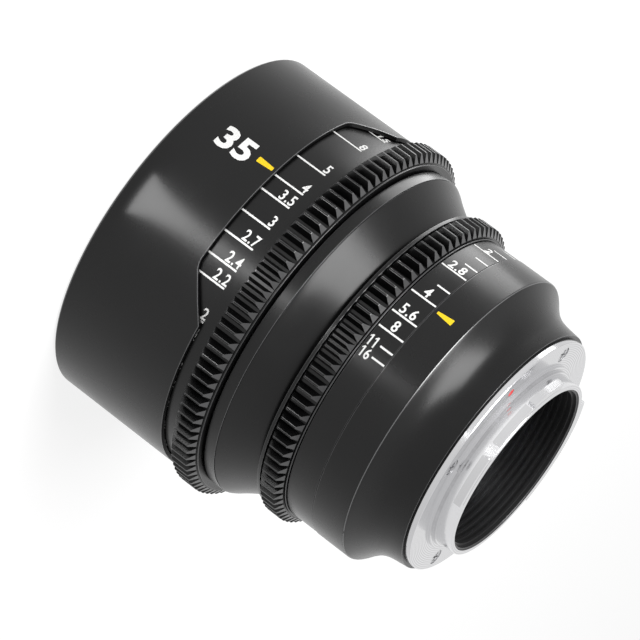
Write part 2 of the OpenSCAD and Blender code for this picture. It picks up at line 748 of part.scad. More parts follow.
// Iris cam ring: spiral slots that swing the blades at a constant ratio to the ring
module iris_cam() color([0.5, 0.42, 0.24]) {
    steps = 30;
    throw = open_a + closed_a;
    half_w = blade_pin_r + run_gap;
    line = [for (i = [0:steps]) let (a = throw * i / steps, p = drive_at(a))
        polar(norm(p), atan2(p[1], p[0]) + a - open_a)];
    ahead = [for (i = [0:steps]) let (d = line[min(i + 1, steps)] - line[max(i - 1, 0)])
        [-d[1], d[0]] / norm(d)];
    outline = concat([for (i = [0:steps]) line[i] + half_w * ahead[i]],
        [for (i = [steps:-1:0]) line[i] - half_w * ahead[i]]);
    difference() {
        translate([0, 0, iris_cam_z])
            linear_extrude(height = iris_cam_t)
                difference() {
                    circle(r = housing_rim_r - run_gap);
                    circle(r = cam_open_r);
                    for (k = [0:blade_count - 1])
                        rotate(360 * k / blade_count) {
                            polygon(outline);
                            translate(line[0]) circle(r = half_w, $fn = 24);
                            translate(line[steps]) circle(r = half_w, $fn = 24);
                        }
                }
        radial_pin(screw_r + seat_gap, housing_rim_r - iris_pin_socket, housing_rim_r + over,
            iris_pin_a, iris_pin_z);
    }
}

// Pin that couples the iris ring to the cam ring through the inner barrel
module iris_drive_pin() color([0.75, 0.75, 0.77]) {
    radial_pin(screw_r, housing_rim_r - iris_pin_socket + seat_gap, tube_r, iris_pin_a, iris_pin_z);
    radial_pin(drive_pin_r, housing_rim_r + seat_gap, tube_r + iris_ring_wall * pin_seat_share,
        iris_pin_a, iris_pin_z);
}

// Iris ring: collar, gear, step ring and scale band on one running bore
module iris_ring() color([0.06, 0.06, 0.065]) {
    root = root_radius(iris_teeth);
    hub_in = tube_r + run_gap;
    collar_share = 1.13;
    collar_r = root + collar_share * gear_module;
    groove_d = 0.7;
    line_w = 0.35;
    step_rise = 0.35;
    step_r_out = iris_band_r + step_rise;
    z1 = iris_gear_end + line_w;
    z2 = iris_band_z - 2 * line_w;
    difference() {
        union() {
            gear(iris_teeth, iris_gear_z, iris_gear_w, hub_in);
            turned([[hub_in, iris_z0], [collar_r - edge, iris_z0], [collar_r, iris_z0 + edge],
                [collar_r, iris_gear_z - edge], [root - seat_gap, iris_gear_z + edge],
                [root - seat_gap, iris_gear_end - edge],
                [iris_band_r - groove_d, iris_gear_end - edge], [iris_band_r - groove_d, z1], [step_r_out, z1],
                [step_r_out, z2], [iris_band_r - groove_d, z2], [iris_band_r - groove_d, iris_band_z - line_w],
                [iris_band_r - edge, iris_band_z - line_w], [iris_band_r, iris_band_z - line_w + edge],
                [iris_band_r, iris_end_z - edge], [iris_band_r - edge, iris_end_z], [hub_in, iris_end_z]]);
        }
        radial_pin(drive_pin_r + seat_gap, tube_r - over, tube_r + iris_ring_wall * pin_hole_share,
            iris_pin_a, iris_pin_z);
    }
}

// Focus ring: scale skirt, gear and the hub that is screwed on the cam sleeve
module focus_ring() color([0.06, 0.06, 0.065]) {
    root = root_radius(focus_teeth);
    hub_in = sleeve_r + seat_gap;
    tail_drop = 0.4;
    tail_r = root - tail_drop;
    hub_lead = 1.5;
    hub_z = focus_gear_z - hub_lead;
    difference() {
        union() {
            gear(focus_teeth, focus_gear_z, focus_gear_w, hub_in);
            turned([[skirt_in, skirt_z], [scale_r - edge, skirt_z], [scale_r, skirt_z + edge],
                [scale_r, focus_gear_z + edge], [root - seat_gap, focus_gear_z + edge],
                [root - seat_gap, focus_tail_z - edge],
                [tail_r, focus_tail_z - edge], [tail_r, focus_end_z - edge], [tail_r - edge, focus_end_z],
                [hub_in, focus_end_z], [hub_in, hub_z], [skirt_in, hub_z]]);
        }
        sleeve_screw_holes(focus_end_z - sleeve_screw_depth, focus_end_z + over);
    }
}

// Holes for the screws that join the focus ring to the cam sleeve's flange
module sleeve_screw_holes(z0, z1) {
    for (i = [0:5]) axial_pin(screw_r + seat_gap, sleeve_screw_at, 60 * i + sleeve_screw_first_a, z0, z1);
}

module focus_ring_screws() color([0.5, 0.5, 0.51])
    for (i = [0:5])
        axial_screw(sleeve_screw_at, 60 * i + sleeve_screw_first_a,
            focus_end_z - sleeve_screw_depth + seat_gap, sleeve_flange_z);

// Pin that meets the mid barrel's land at the near and far stops
module focus_stop_pin() color([0.75, 0.75, 0.77])
    axial_pin(stop_pin_r, sleeve_screw_at + stop_pin_shift, stop_pin_a,
        sleeve_flange_z, mid_web_z - stop_pin_clear);

// Cutter of one roller's track in the cam sleeve: a helical slot with the cam's lead
module cam_track(k) {
    steps = 36;
    r0 = sleeve_in - over;
    r1 = sleeve_r + over;
    half_w = roller_r + run_gap;
    end_a = (roller_r + 2 * run_gap) / sleeve_in * 180 / PI;
    a0 = roller_a(k) + near_a + end_a;
    a1 = roller_a(k) - far_a - end_a;
    stations = [for (i = [0:steps]) let (a = a0 + (a1 - a0) * i / steps)
        [a, roller_z(k) + cam_lead * (roller_a(k) - a) / 360]];
    points = [for (s = stations, q = [[r0, -1], [r1, -1], [r1, 1], [r0, 1]])
        [q[0] * cos(s[0]), q[0] * sin(s[0]), s[1] + q[1] * half_w]];
    sides = [for (i = [0:steps - 1], j = [0:3]) let (a = 4 * i + j, b = 4 * i + (j + 1) % 4)
        each [[a, b + 4, b], [a, a + 4, b + 4]]];
    last = 4 * steps;
    ends = [[0, 1, 2], [0, 2, 3], [last, last + 2, last + 1], [last, last + 3, last + 2]];
    polyhedron(points, concat(sides, ends));
}

// Cam sleeve: turns with the focus ring and moves the rollers along the axis
module cam_sleeve() color([0.1, 0.1, 0.105]) {
    flange_r_out = sleeve_screw_at + head_r + sleeve_flange_rim;
    difference() {
        union() {
            tube(sleeve_r, sleeve_in, sleeve_z0, sleeve_z1);
            tube(flange_r_out, sleeve_in, focus_end_z, sleeve_flange_z);
        }
        for (k = [0:roller_count - 1]) cam_track(k);
        sleeve_screw_holes(focus_end_z - over, sleeve_flange_z + over);
    }
}

// Focusing cell: slides in the inner barrel and carries the two focusing elements and the rollers
module focus_cell() color([0.14, 0.14, 0.15]) {
    seat_r = focus_glass_r + glass_gap;
    second_seat_r = focus_second_r + glass_gap;
    seat_z = focus_glass_z + focus_edge_t + crown(focus_glass_r, focus_curve_shares[1]) + glass_gap;
    stop_z = focus_second_z - crown(focus_second_r, focus_second_curve_shares[0]) - glass_gap;
    difference() {
        turned([[cell_r - edge, focus_cell_z], [cell_r, focus_cell_z + edge], [cell_r, focus_cell_end - edge],
            [cell_r - edge, focus_cell_end], [second_seat_r, focus_cell_end], [second_seat_r, stop_z],
            [focus_second_r - cell_lip, stop_z], [focus_glass_r - cell_lip, seat_z], [seat_r, seat_z],
            [seat_r, focus_cell_z]]);
        for (k = [0:roller_count - 1])
            radial_pin(screw_r + seat_gap, cell_r - roller_socket_d, cell_r + over, roller_a(k), roller_z(k));
    }
}

module focus_front_element() color([0.5, 0.62, 0.72, 0.5])
    glass(focus_glass_r, focus_glass_z, focus_glass_z + focus_edge_t, focus_curve_shares);

module focus_rear_element() color([0.5, 0.62, 0.72, 0.5])
    glass(focus_second_r, focus_second_z, focus_second_z + focus_second_t, focus_second_curve_shares);

// Rings that hold the two focusing elements
module focus_retainer() color([0.08, 0.08, 0.085]) {
    tube(focus_glass_r, focus_glass_r - cell_lip, focus_cell_z + retainer_inset,
        focus_glass_z - crown(focus_glass_r, focus_curve_shares[0]) - glass_gap);
    tube(focus_second_r, focus_second_r - cell_lip, focus_second_z + focus_second_t + glass_gap,
        focus_cell_end - retainer_inset);
}

// Rollers that run in the cam sleeve's tracks and the inner barrel's guide slots
module cam_rollers() color([0.78, 0.64, 0.34])
    for (k = [0:roller_count - 1])
        difference() {
            radial_pin(roller_r, cell_r + seat_gap, sleeve_r - roller_top_gap, roller_a(k), roller_z(k));
            radial_pin(screw_r + seat_gap, cell_r - over, sleeve_r + over, roller_a(k), roller_z(k));
            radial_pin(roller_head_r() + seat_gap, roller_head_at(), sleeve_r + over, roller_a(k), roller_z(k));
        }

module roller_screws() color([0.6, 0.6, 0.62])
    for (k = [0:roller_count - 1]) {
        radial_pin(screw_r, cell_r - roller_screw_len, sleeve_r - 2 * roller_top_gap, roller_a(k), roller_z(k));
        radial_pin(roller_head_r(), roller_head_at() + seat_gap, sleeve_r - roller_top_gap - seat_gap,
            roller_a(k), roller_z(k));
    }

// Radius of a roller screw's head, and the radius from the axis at which it sits in its roller
function roller_head_r() = (roller_r + screw_r) / 2;
function roller_head_at() = sleeve_r - sleeve_wall / 2;

// Rear barrel: fixed band with the iris index, rounded shoulder and hollow neck
module rear_barrel() color([0.07, 0.07, 0.075]) {
    band_rise = 0.1;
    band_r = iris_band_r + band_rise;
    band_in = rear_screw_at + rear_head_r + retainer_inset;
    neck_wall = 2.2;
    dive = 47;
    shoulder = arc([band_r - shoulder_round, band_end_z], shoulder_round, 0, dive, 6);
    bend = shoulder[len(shoulder) - 1];
    left = bend[0] - neck_r;
    far = neck_end_z - bend[1];
    sweep_shares = [[0.07, 0.77], [0.16, 0.61], [0.25, 0.475], [0.345, 0.355], [0.44, 0.265], [0.53, 0.19],
        [0.62, 0.135], [0.715, 0.09], [0.835, 0.05], [1, 0]];
    sweep = [for (s = sweep_shares) [neck_r + left * s[1], bend[1] + far * s[0]]];
    difference() {
        turned(concat([[tube_r + seat_gap, rear_z], [band_r - edge, rear_z], [band_r, rear_z + edge]], shoulder,
            sweep, [[mount_hole_r, neck_end_z], [mount_hole_r, baffle_z], [neck_r - neck_wall, baffle_z],
            [bend[0] - neck_wall, bend[1] - neck_wall / 2], [band_in, band_end_z], [band_in, rear_cell_z],
            [rear_cell_r + seat_gap, rear_cell_z], [rear_cell_r + seat_gap, rear_web_z],
            [tube_r + seat_gap, rear_web_z]]));
        rear_screw_pins(rear_screw_r, rear_web_z - over, rear_cell_z + over);
        cell_screw_pins(screw_r + seat_gap, rear_web_z - over, rear_cell_z + over);
        for (a = mount_screw_angles)
            axial_pin(mount_screw_r + seat_gap, mount_screw_pcr, a,
                neck_end_z - mount_screw_len, neck_end_z + over);
    }
}

module rear_barrel_screws() color([0.55, 0.55, 0.56]) {
    rear_screw_pins(rear_screw_r - seat_gap, rear_z + seat_gap, rear_cell_z + head_h / 2);
    rear_screw_pins(rear_head_r, rear_cell_z, rear_cell_z + head_h);
}

// Rear cell: holds the two rear elements and hangs on the rear barrel's web
module rear_cell() color([0.1, 0.1, 0.105]) {
    wall_r = group_glass_r + glass_gap;
    rear_seat_r = rear_glass_r + glass_gap;
    seat_z = group_z + group_edge_t + crown(group_glass_r, group_curve_shares[1]) + glass_gap;
    stop_z = rear_edge_z - crown(rear_glass_r, rear_curve_shares[0]) - glass_gap;
    flange_z = rear_cell_z + rear_flange_t;
    difference() {
        turned([[wall_r, rear_cell_front], [rear_cell_r - edge, rear_cell_front],
            [rear_cell_r, rear_cell_front + edge], [rear_cell_r, rear_cell_z], [rear_flange_r, rear_cell_z],
            [rear_flange_r, flange_z], [rear_cell_r, flange_z], [rear_cell_r, rear_cell_end], [rear_seat_r, rear_cell_end],
            [rear_seat_r, stop_z], [rear_glass_r - cell_lip, stop_z], [group_glass_r - cell_lip, seat_z],
            [wall_r, seat_z]]);
        cell_screw_pins(screw_r + seat_gap, rear_cell_z - over, flange_z + over);
    }
}

module rear_cell_screws() color([0.55, 0.55, 0.56])
    for (i = [0:2])
        axial_screw(cell_screw_at, 120 * i + cell_screw_first_a,
            rear_web_z + seat_gap, rear_cell_z + rear_flange_t);

module rear_group_element() color([0.5, 0.62, 0.72, 0.5])
    glass(group_glass_r, group_z, group_z + group_edge_t, group_curve_shares);

module rear_element() color([0.5, 0.62, 0.72, 0.5])
    glass(rear_glass_r, rear_edge_z, rear_edge_z + rear_edge_t, rear_curve_shares);

// Rings that hold the two rear elements
module rear_retainer() color([0.08, 0.08, 0.085]) {
    tube(group_glass_r, group_glass_r - cell_lip, rear_cell_front + retainer_inset, group_z - glass_gap);
    tube(rear_glass_r, rear_glass_r - cell_lip,
        rear_edge_z + rear_edge_t + crown(rear_glass_r, rear_curve_shares[1]) + glass_gap,
        rear_cell_end - retainer_inset);
}

// Ribbed tube inside the bayonet that traps stray light
module rear_baffle() color([0.04, 0.04, 0.045]) {
    r_out = bayonet_in - seat_gap;
    rim_inset = 0.3;
    end_z = rim_z - rim_inset;
    rib_count = 7;
    rib_h = 0.5;
    wall = 0.45;
    pitch = (end_z - baffle_z) / rib_count;
    rib_w_share = 0.4;
    ribs = [for (i = [0:rib_count - 1]) let (z = baffle_z + i * pitch)
        each [[r_out - wall - rib_h, z], [r_out - wall - rib_h, z + pitch * rib_w_share],
            [r_out - wall, z + pitch * rib_w_share], [r_out - wall, z + pitch]]];
    turned(concat(ribs, [[r_out, end_z], [r_out, baffle_z]]));
}

module mount_shim() color([0.02, 0.02, 0.02])
    difference() {
        tube(flange_r - edge, mount_hole_r, neck_end_z, mount_z);
        for (a = mount_screw_angles)
            axial_pin(mount_screw_r + seat_gap, mount_screw_pcr, a, neck_end_z - over, mount_z + over);
    }

// Mount ring: flange, register steps, bayonet tube and three lugs
module mount_ring() color([0.8, 0.8, 0.82]) {
    difference() {
        union() {
            turned([[bayonet_in, mount_z], [flange_r - edge, mount_z], [flange_r, mount_z + edge],
                [flange_r, flange_face_z - edge], [flange_r - edge, flange_face_z], [step_r, flange_face_z],
                [step_r, flange_face_z + step_h], [inner_step_r, flange_face_z + step_h],
                [inner_step_r, flange_face_z + inner_step_h], [bayonet_r, flange_face_z + inner_step_h],
                [bayonet_r, rim_z - edge], [bayonet_r - edge, rim_z], [bayonet_in, rim_z]]);
            for (lug = lug_angles)
                sector(lug_r, bayonet_r - bayonet_wall / 2, rim_z - lug_t - edge, rim_z - edge,
                    lug[0] - lug[1] / 2, lug[0] + lug[1] / 2);
        }
        for (a = mount_screw_angles) {
            axial_pin(mount_screw_r + seat_gap, mount_screw_pcr, a, mount_z - over, flange_face_z + over);
            axial_pin(mount_head_r + run_gap, mount_screw_pcr, a, mount_head_z, flange_face_z + over);
        }
        axial_pin(dot_r, mount_screw_pcr, index_a, flange_face_z - dot_depth, flange_face_z + over);
        rotate([0, 0, lug_angles[0][0]])
            translate([lug_r - notch_depth, -notch_w / 2, rim_z - lug_t - 2 * edge])
                cube([over + notch_depth, notch_w, lug_t + over]);
    }
}

// Cross-head screws that hold the mount ring
module mount_screws() color([0.72, 0.72, 0.74]) {
    head_z1 = flange_face_z - mount_head_sink;
    cross_w_share = 0.4;
    cross_len_share = 1.3;
    for (a = mount_screw_angles)
        difference() {
            union() {
                axial_pin(mount_screw_r, mount_screw_pcr, a,
                    neck_end_z - mount_screw_len + seat_gap, mount_head_z + seat_gap);
                axial_pin(mount_head_r, mount_screw_pcr, a, mount_head_z, head_z1);
            }
            for (turn = [0, 90])
                rotate([0, 0, a])
                    translate([mount_screw_pcr, 0, head_z1])
                        rotate([0, 0, turn])
                            cube([cross_len_share * mount_head_r, cross_w_share * mount_screw_r,
                                head_z1 - mount_head_z], center = true);
        }
}

module mount_dot() color([0.8, 0.08, 0.08])
    axial_pin(dot_r - seat_gap, mount_screw_pcr, index_a,
        flange_face_z - dot_depth, flange_face_z - 2 * seat_gap);

front_barrel();
front_bezel();
front_cell();
front_retainer();
front_element();
second_element();
front_barrel_screws();
inner_barrel();
focus_front_washer();
focus_rear_washer();
mid_barrel();
iris_ring_washer();
iris_housing();
iris_housing_screws();
iris_retainer();
rear_barrel();
rear_barrel_screws();
rear_cell();
rear_cell_screws();
rear_group_element();
rear_element();
rear_retainer();
rear_baffle();
mount_shim();
mount_ring();
mount_screws();
mount_dot();
focus_ring();
cam_sleeve();
focus_ring_screws();
focus_stop_pin();
focus_cell();
focus_front_element();
focus_rear_element();
focus_retainer();
cam_rollers();
roller_screws();
iris_ring();
iris_cam();
iris_drive_pin();
iris_blade_1();
iris_blade_2();
iris_blade_3();
iris_blade_4();
iris_blade_5();
iris_blade_6();
iris_blade_7();
iris_blade_8();
iris_blade_9();
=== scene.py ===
# %% [markdown]
# # A cine prime lens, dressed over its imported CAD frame
# The frame is the exact machine: 49 nodes on 13 bodies. This script gives it the skin that a
# camera sees: turned shells with crisp edge breaks, two geared rings, a rolled front shell with its
# scale window, painted scales, and finishes for every solid that stays.
# Everything is worked out in millimetres and turned into metres when a piece is finished.

# %% Load the frame
import math

import bmesh
import bpy
from mathutils import Matrix, Vector


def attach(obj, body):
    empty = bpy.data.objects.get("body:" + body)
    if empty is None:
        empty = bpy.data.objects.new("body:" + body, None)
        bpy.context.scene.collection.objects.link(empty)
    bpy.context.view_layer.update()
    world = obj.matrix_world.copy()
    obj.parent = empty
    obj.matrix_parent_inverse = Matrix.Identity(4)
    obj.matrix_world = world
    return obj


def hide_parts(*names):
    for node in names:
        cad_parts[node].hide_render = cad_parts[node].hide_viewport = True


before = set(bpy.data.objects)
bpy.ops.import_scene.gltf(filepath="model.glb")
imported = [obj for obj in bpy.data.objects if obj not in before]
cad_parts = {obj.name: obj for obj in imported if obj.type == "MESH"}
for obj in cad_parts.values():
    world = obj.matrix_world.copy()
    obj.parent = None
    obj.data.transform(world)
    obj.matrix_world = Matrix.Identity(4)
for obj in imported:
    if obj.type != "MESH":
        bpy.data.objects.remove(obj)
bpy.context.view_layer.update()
MM = 0.001

# %% [markdown]
# ## What every piece goes through
# Each piece is drawn in a bmesh of its own and leaves it the same way: doubled corners are welded,
# the faces turned outwards, the sizes made metres, and the piece put on the body that it moves with.
# A weighted-normal modifier keeps the long walls shading as true cylinders beside tiny chamfers,
# which plain smooth shading would smear.

# %% Helpers for every piece
WELD = 0.0005
SEAM_WELD = 0.001
SMOOTH_ANGLE = math.radians(26)
NORMAL_WEIGHT = 60


def finish_piece(bm, name, body, material, replaces=(), edge=None):
    """Turns a bmesh in millimetres into a finished piece that rides on its body."""
    bmesh.ops.remove_doubles(bm, verts=bm.verts, dist=WELD)
    bmesh.ops.recalc_face_normals(bm, faces=bm.faces)
    bmesh.ops.scale(bm, vec=(MM, MM, MM), verts=bm.verts)
    mesh = bpy.data.meshes.new(name)
    bm.to_mesh(mesh)
    bm.free()
    mesh.shade_smooth()
    mesh.set_sharp_from_angle(angle=SMOOTH_ANGLE)
    piece = bpy.data.objects.new(name, mesh)
    bpy.context.scene.collection.objects.link(piece)
    mesh.materials.append(material)
    # The second material, when there is one, is a painted highlight for edge breaks and tooth ends.
    if edge:
        mesh.materials.append(edge)
    normals = piece.modifiers.new("even_normals", "WEIGHTED_NORMAL")
    normals.keep_sharp = True
    normals.weight = NORMAL_WEIGHT
    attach(piece, body)
    if replaces:
        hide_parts(*replaces)
    print(f"{name}: {len(mesh.vertices)} vertices, {len(mesh.polygons)} faces, on {body}")


def everything(bm):
    """All corners, edges and faces, for an operator that takes them together."""
    return bm.verts[:] + bm.edges[:] + bm.faces[:]


def join_into(bm, other):
    """Moves one bmesh's geometry into another."""
    carrier = bpy.data.meshes.new("carrier")
    other.to_mesh(carrier)
    other.free()
    bm.from_mesh(carrier)
    bpy.data.meshes.remove(carrier)


def thicken(bm, way):
    """Extrudes a flat shape and moves its new side, which closes it into a slab."""
    grown = bmesh.ops.extrude_face_region(bm, geom=bm.faces[:])
    moved = [v for v in grown["geom"] if isinstance(v, bmesh.types.BMVert)]
    bmesh.ops.translate(bm, vec=way, verts=moved)


print("corners nearer than", WELD, "mm are welded")

# %% [markdown]
# ## How a turned part is made
# On a lathe the outline does all the work, so the same idea is used here: the outline is drawn once
# as a flat face, its corners are broken with a vertex bevel, and the rim of that face is spun a full
# turn. The alternative, a stack of cylinders, would leave internal walls and doubled edges.
# The narrow faces are the edge breaks, and they get the second material, a lighter and glossier
# finish that paints a highlight along them.

# %% Turn an outline
STEPS = 256
EDGE_WIDTH = 0.2


def add_turned(bm, outline, gap=False):
    """Spins an outline of (radius, height) or (radius, height, rounding) round the optical axis.

    With a gap, the last point isn't joined to the first, so that another wall can close it.
    """
    flat = bmesh.new()
    corners = [flat.verts.new((p[0], 0, p[1])) for p in outline]
    flat.faces.new(corners)
    rounds = sorted({p[2] for p in outline if len(p) > 2})
    tagged = {r: [v for v, p in zip(corners, outline) if len(p) > 2 and p[2] == r] for r in rounds}
    for r in rounds:
        bmesh.ops.bevel(flat, geom=tagged[r], offset=r, affect="VERTICES", segments=3,
                        profile=0.5, material=-1)
    bmesh.ops.delete(flat, geom=flat.faces[:], context="FACES_ONLY")
    if gap:
        closing = [e for e in corners[0].link_edges if e.other_vert(corners[0]) is corners[-1]]
        bmesh.ops.delete(flat, geom=closing, context="EDGES")
    bmesh.ops.spin(flat, geom=flat.verts[:] + flat.edges[:], cent=(0, 0, 0), axis=(0, 0, 1),
                   angle=2 * math.pi, steps=STEPS, use_merge=True)
    bmesh.ops.remove_doubles(flat, verts=flat.verts, dist=WELD)
    bmesh.ops.recalc_face_normals(flat, faces=flat.faces)
    # Faces narrower than EDGE_WIDTH take the second material, which paints a highlight along the
    # breaks.
    for f in flat.faces:
        radii = [math.hypot(v.co.x, v.co.y) for v in f.verts]
        heights = [v.co.z for v in f.verts]
        slant = math.hypot(max(radii) - min(radii), max(heights) - min(heights))
        f.material_index = 1 if slant < EDGE_WIDTH else 0
    join_into(bm, flat)


print("turned parts get", STEPS, "steps round the axis")

# %% [markdown]
# ## Finishes
# The lens shows satin black anodising on fine-turned aluminium, white and yellow paint in the
# scales, a red dot, a bright chromed mount and dead-black light traps. Each is a Principled shader
# whose roughness, colour and bump drift with noise on Object coordinates. Image textures would tie
# a finish to one file and one size, and noise doesn't repeat.

# %% Material helpers
GRAIN_LOW = 0.3
GRAIN_HIGH = 0.7
DARK_AT = 0.35
LIGHT_AT = 0.68


def new_material(name, colour, rough, metallic=0.0, **sockets):
    """A Principled material with its constant values set on the shader's own sockets."""
    material = bpy.data.materials.new(name)
    material.use_nodes = True
    shader = material.node_tree.nodes["Principled BSDF"]
    shader.inputs["Base Color"].default_value = (*colour, 1)
    shader.inputs["Roughness"].default_value = rough
    shader.inputs["Metallic"].default_value = metallic
    for key, value in sockets.items():
        shader.inputs[key.replace("_", " ")].default_value = value
    return material, material.node_tree, shader


def grain(tree, scale, detail=4.0):
    """Noise on Object coordinates, at a scale in repeats per metre."""
    place = tree.nodes.new("ShaderNodeTexCoord")
    noise = tree.nodes.new("ShaderNodeTexNoise")
    noise.inputs["Scale"].default_value = scale
    noise.inputs["Detail"].default_value = detail
    tree.links.new(place.outputs["Object"], noise.inputs["Vector"])
    return noise.outputs["Fac"]


def spread(tree, value, low, high, socket):
    """Maps a grain onto a socket's useful range."""
    span = tree.nodes.new("ShaderNodeMapRange")
    span.inputs["From Min"].default_value = GRAIN_LOW
    span.inputs["From Max"].default_value = GRAIN_HIGH
    span.inputs["To Min"].default_value = low
    span.inputs["To Max"].default_value = high
    tree.links.new(value, span.inputs["Value"])
    tree.links.new(span.outputs["Result"], socket)


def bump(tree, shader, value, strength, depth):
    """Adds a bump of a depth in metres."""
    node = tree.nodes.new("ShaderNodeBump")
    node.inputs["Strength"].default_value = strength
    node.inputs["Distance"].default_value = depth
    tree.links.new(value, node.inputs["Height"])
    tree.links.new(node.outputs["Normal"], shader.inputs["Normal"])


def drift_colour(tree, shader, value, colour, darker, lighter):
    """Lets the base colour drift with a grain, between two shares of itself."""
    ramp = tree.nodes.new("ShaderNodeValToRGB")
    dark, light = ramp.color_ramp.elements
    dark.position = DARK_AT
    dark.color = (*[c * darker for c in colour], 1)
    light.position = LIGHT_AT
    light.color = (*[c * lighter for c in colour], 1)
    tree.links.new(value, ramp.inputs["Fac"])
    tree.links.new(ramp.outputs["Color"], shader.inputs["Base Color"])


print("material helpers ready")

# %% [markdown]
# ### Satin black anodising
# Bead-blasted and dyed aluminium: nearly black, with a soft sheen that turns silver at grazing
# angles. One flat dark grey would give the tone and look like plastic, so two grains do it. A fine
# even one gives the blasted skin its bump, and a slow one lets the roughness drift, so that long
# highlights are not perfectly even. The edge breaks get a lighter, glossier finish of their own,
# which paints a highlight along every edge, and the inner parts a duller one that swallows light.

# %% Anodised finishes
SLOW_GRAIN = 90
BLASTED_GRAIN = 9000
BLASTED_DEPTH = 0.00001


def anodised(name, colour, rough, level=0.28):
    """Dyed, bead-blasted aluminium. The level is how strongly its surface reflects."""
    material, tree, shader = new_material(name, colour, rough, Specular_IOR_Level=level)
    slow = grain(tree, SLOW_GRAIN)
    spread(tree, slow, rough - 0.025, rough + 0.03, shader.inputs["Roughness"])
    drift_colour(tree, shader, slow, colour, darker=0.85, lighter=1.2)
    bump(tree, shader, grain(tree, BLASTED_GRAIN, 2), strength=0.25, depth=BLASTED_DEPTH)
    return material


# Painted highlight: edge breaks get a lighter base colour and a stronger reflection, so they show as
# bright lines.
EDGE_PAINTED_HIGHLIGHT = anodised("edge_painted_highlight", (0.05, 0.05, 0.052), 0.24, level=1.0)
ANODISED = anodised("satin_black_anodising", (0.002, 0.002, 0.0021), 0.27)
GEAR_BLACK = anodised("milled_black_anodising", (0.002, 0.002, 0.0021), 0.26)
# Painted highlight: the gears' sloped ends and broken tips get a lighter, glossier finish, so every
# tooth shows a bright line.
TOOTH_PAINTED_HIGHLIGHT = anodised("tooth_edge_painted_highlight", (0.03, 0.03, 0.031), 0.26, level=0.65)
CELL_BLACK = anodised("matt_black_anodising", (0.007, 0.007, 0.0075), 0.5)
BAFFLE = anodised("light_trap_black", (0.006, 0.006, 0.0063), 0.42, level=0.5)
print("anodised finishes:", ANODISED.name, GEAR_BLACK.name, CELL_BLACK.name, BAFFLE.name)
print("edge finishes:", EDGE_PAINTED_HIGHLIGHT.name, TOOTH_PAINTED_HIGHLIGHT.name)

# %% [markdown]
# ### Chrome, steel and bronze
# The mount is turned brass under bright chrome. Its faces carry rings left by the lathe, so the
# bump is a wave on the distance from the axis. An anisotropic shader would stretch the highlights
# the same way from afar, but show no rings up close. Screws are plain steel, the inner barrel is
# plain aluminium, and the washers and the cam ring are bronze. The bronze keeps its hue but is
# darkened far below bright bronze, a painted shade, so that a glimpse of it between the rings reads
# dark. All but the chrome and the mount's screws only show when the lens is taken apart.

# %% Metals
WAVER = 0.4
HANDLED_GRAIN = 140


def turned_metal(name, colour, rough, ring_scale, ring_depth):
    """A metal with the fine rings that a lathe leaves."""
    material, tree, shader = new_material(name, colour, rough, 1.0)
    place = tree.nodes.new("ShaderNodeTexCoord")
    wave = tree.nodes.new("ShaderNodeTexWave")
    wave.wave_type = "RINGS"
    wave.rings_direction = "Z"
    wave.inputs["Scale"].default_value = ring_scale
    wave.inputs["Distortion"].default_value = WAVER
    wave.inputs["Detail"].default_value = 2
    wave.inputs["Detail Scale"].default_value = WAVER
    tree.links.new(place.outputs["Object"], wave.inputs["Vector"])
    bump(tree, shader, wave.outputs["Fac"], strength=0.3, depth=ring_depth)
    drift_colour(tree, shader, wave.outputs["Fac"], colour, darker=0.84, lighter=1.08)
    handled = grain(tree, HANDLED_GRAIN)
    spread(tree, handled, rough * 0.9, rough * 1.15, shader.inputs["Roughness"])
    return material


CHROME = turned_metal("bright_turned_chrome", (0.62, 0.62, 0.63), 0.14, 700, 0.000005)
STEEL = turned_metal("plain_steel", (0.5, 0.5, 0.51), 0.28, 400, 0.000003)
ALUMINIUM = turned_metal("fine_turned_aluminium", (0.62, 0.62, 0.63), 0.3, 600, 0.000004)
# Painted shade: bronze hue at about a third of its brightness, so it reads dark where it shows
# between the rings.
BRONZE_IN_PAINTED_SHADE = turned_metal("bronze_darkened_as_shade", (0.26, 0.17, 0.075), 0.38, 600, 0.000004)
print("metals:", CHROME.name, STEEL.name, ALUMINIUM.name, BRONZE_IN_PAINTED_SHADE.name)

# %% [markdown]
# ### Paint and glass
# Scale paint fills an engraved line and stands a hair proud, slightly uneven in its gloss. The
# glass is coated: a plain transmissive shader with a faint tint and a thin bluish coat. A real thin
# film would need a spectrum, and the coat's tint gives the same impression.

# %% Paint and glass
PAINT_GLOSS_GRAIN = 1800
PAINT_GRAIN = 5200
PAINT_DEPTH = 0.00001
COATING_GRAIN = 60


def paint(name, colour, rough=0.5):
    """Scale paint, with little gloss of its own, so that its colour stays in strong light."""
    material, tree, shader = new_material(name, colour, rough, Specular_IOR_Level=0.2)
    gloss = grain(tree, PAINT_GLOSS_GRAIN)
    spread(tree, gloss, rough - 0.06, rough + 0.08, shader.inputs["Roughness"])
    bump(tree, shader, grain(tree, PAINT_GRAIN, 2), strength=0.15, depth=PAINT_DEPTH)
    return material


WHITE = paint("scale_white", (0.8, 0.8, 0.79))
YELLOW = paint("index_yellow", (0.8, 0.56, 0.02))
RED = paint("mount_dot_red", (0.62, 0.02, 0.02), 0.25)
GLASS, glass_tree, glass_shader = new_material(
    "coated_lens_glass", (0.94, 0.96, 0.98), 0.015, Transmission_Weight=1.0, IOR=1.6,
    Coat_Weight=0.2, Coat_Tint=(0.75, 0.8, 1.0, 1.0))
coating = grain(glass_tree, COATING_GRAIN)
spread(glass_tree, coating, 0.008, 0.025, glass_shader.inputs["Roughness"])
print("paints:", WHITE.name, YELLOW.name, RED.name, "and", GLASS.name)

# %% [markdown]
# ## Dressing the solids that stay
# Most inner parts are already right as CAD, so each solid takes its finish by name and keeps its
# own mesh. Only the three outer shells and the two geared rings are rebuilt below, and their solids
# get a finish all the same.

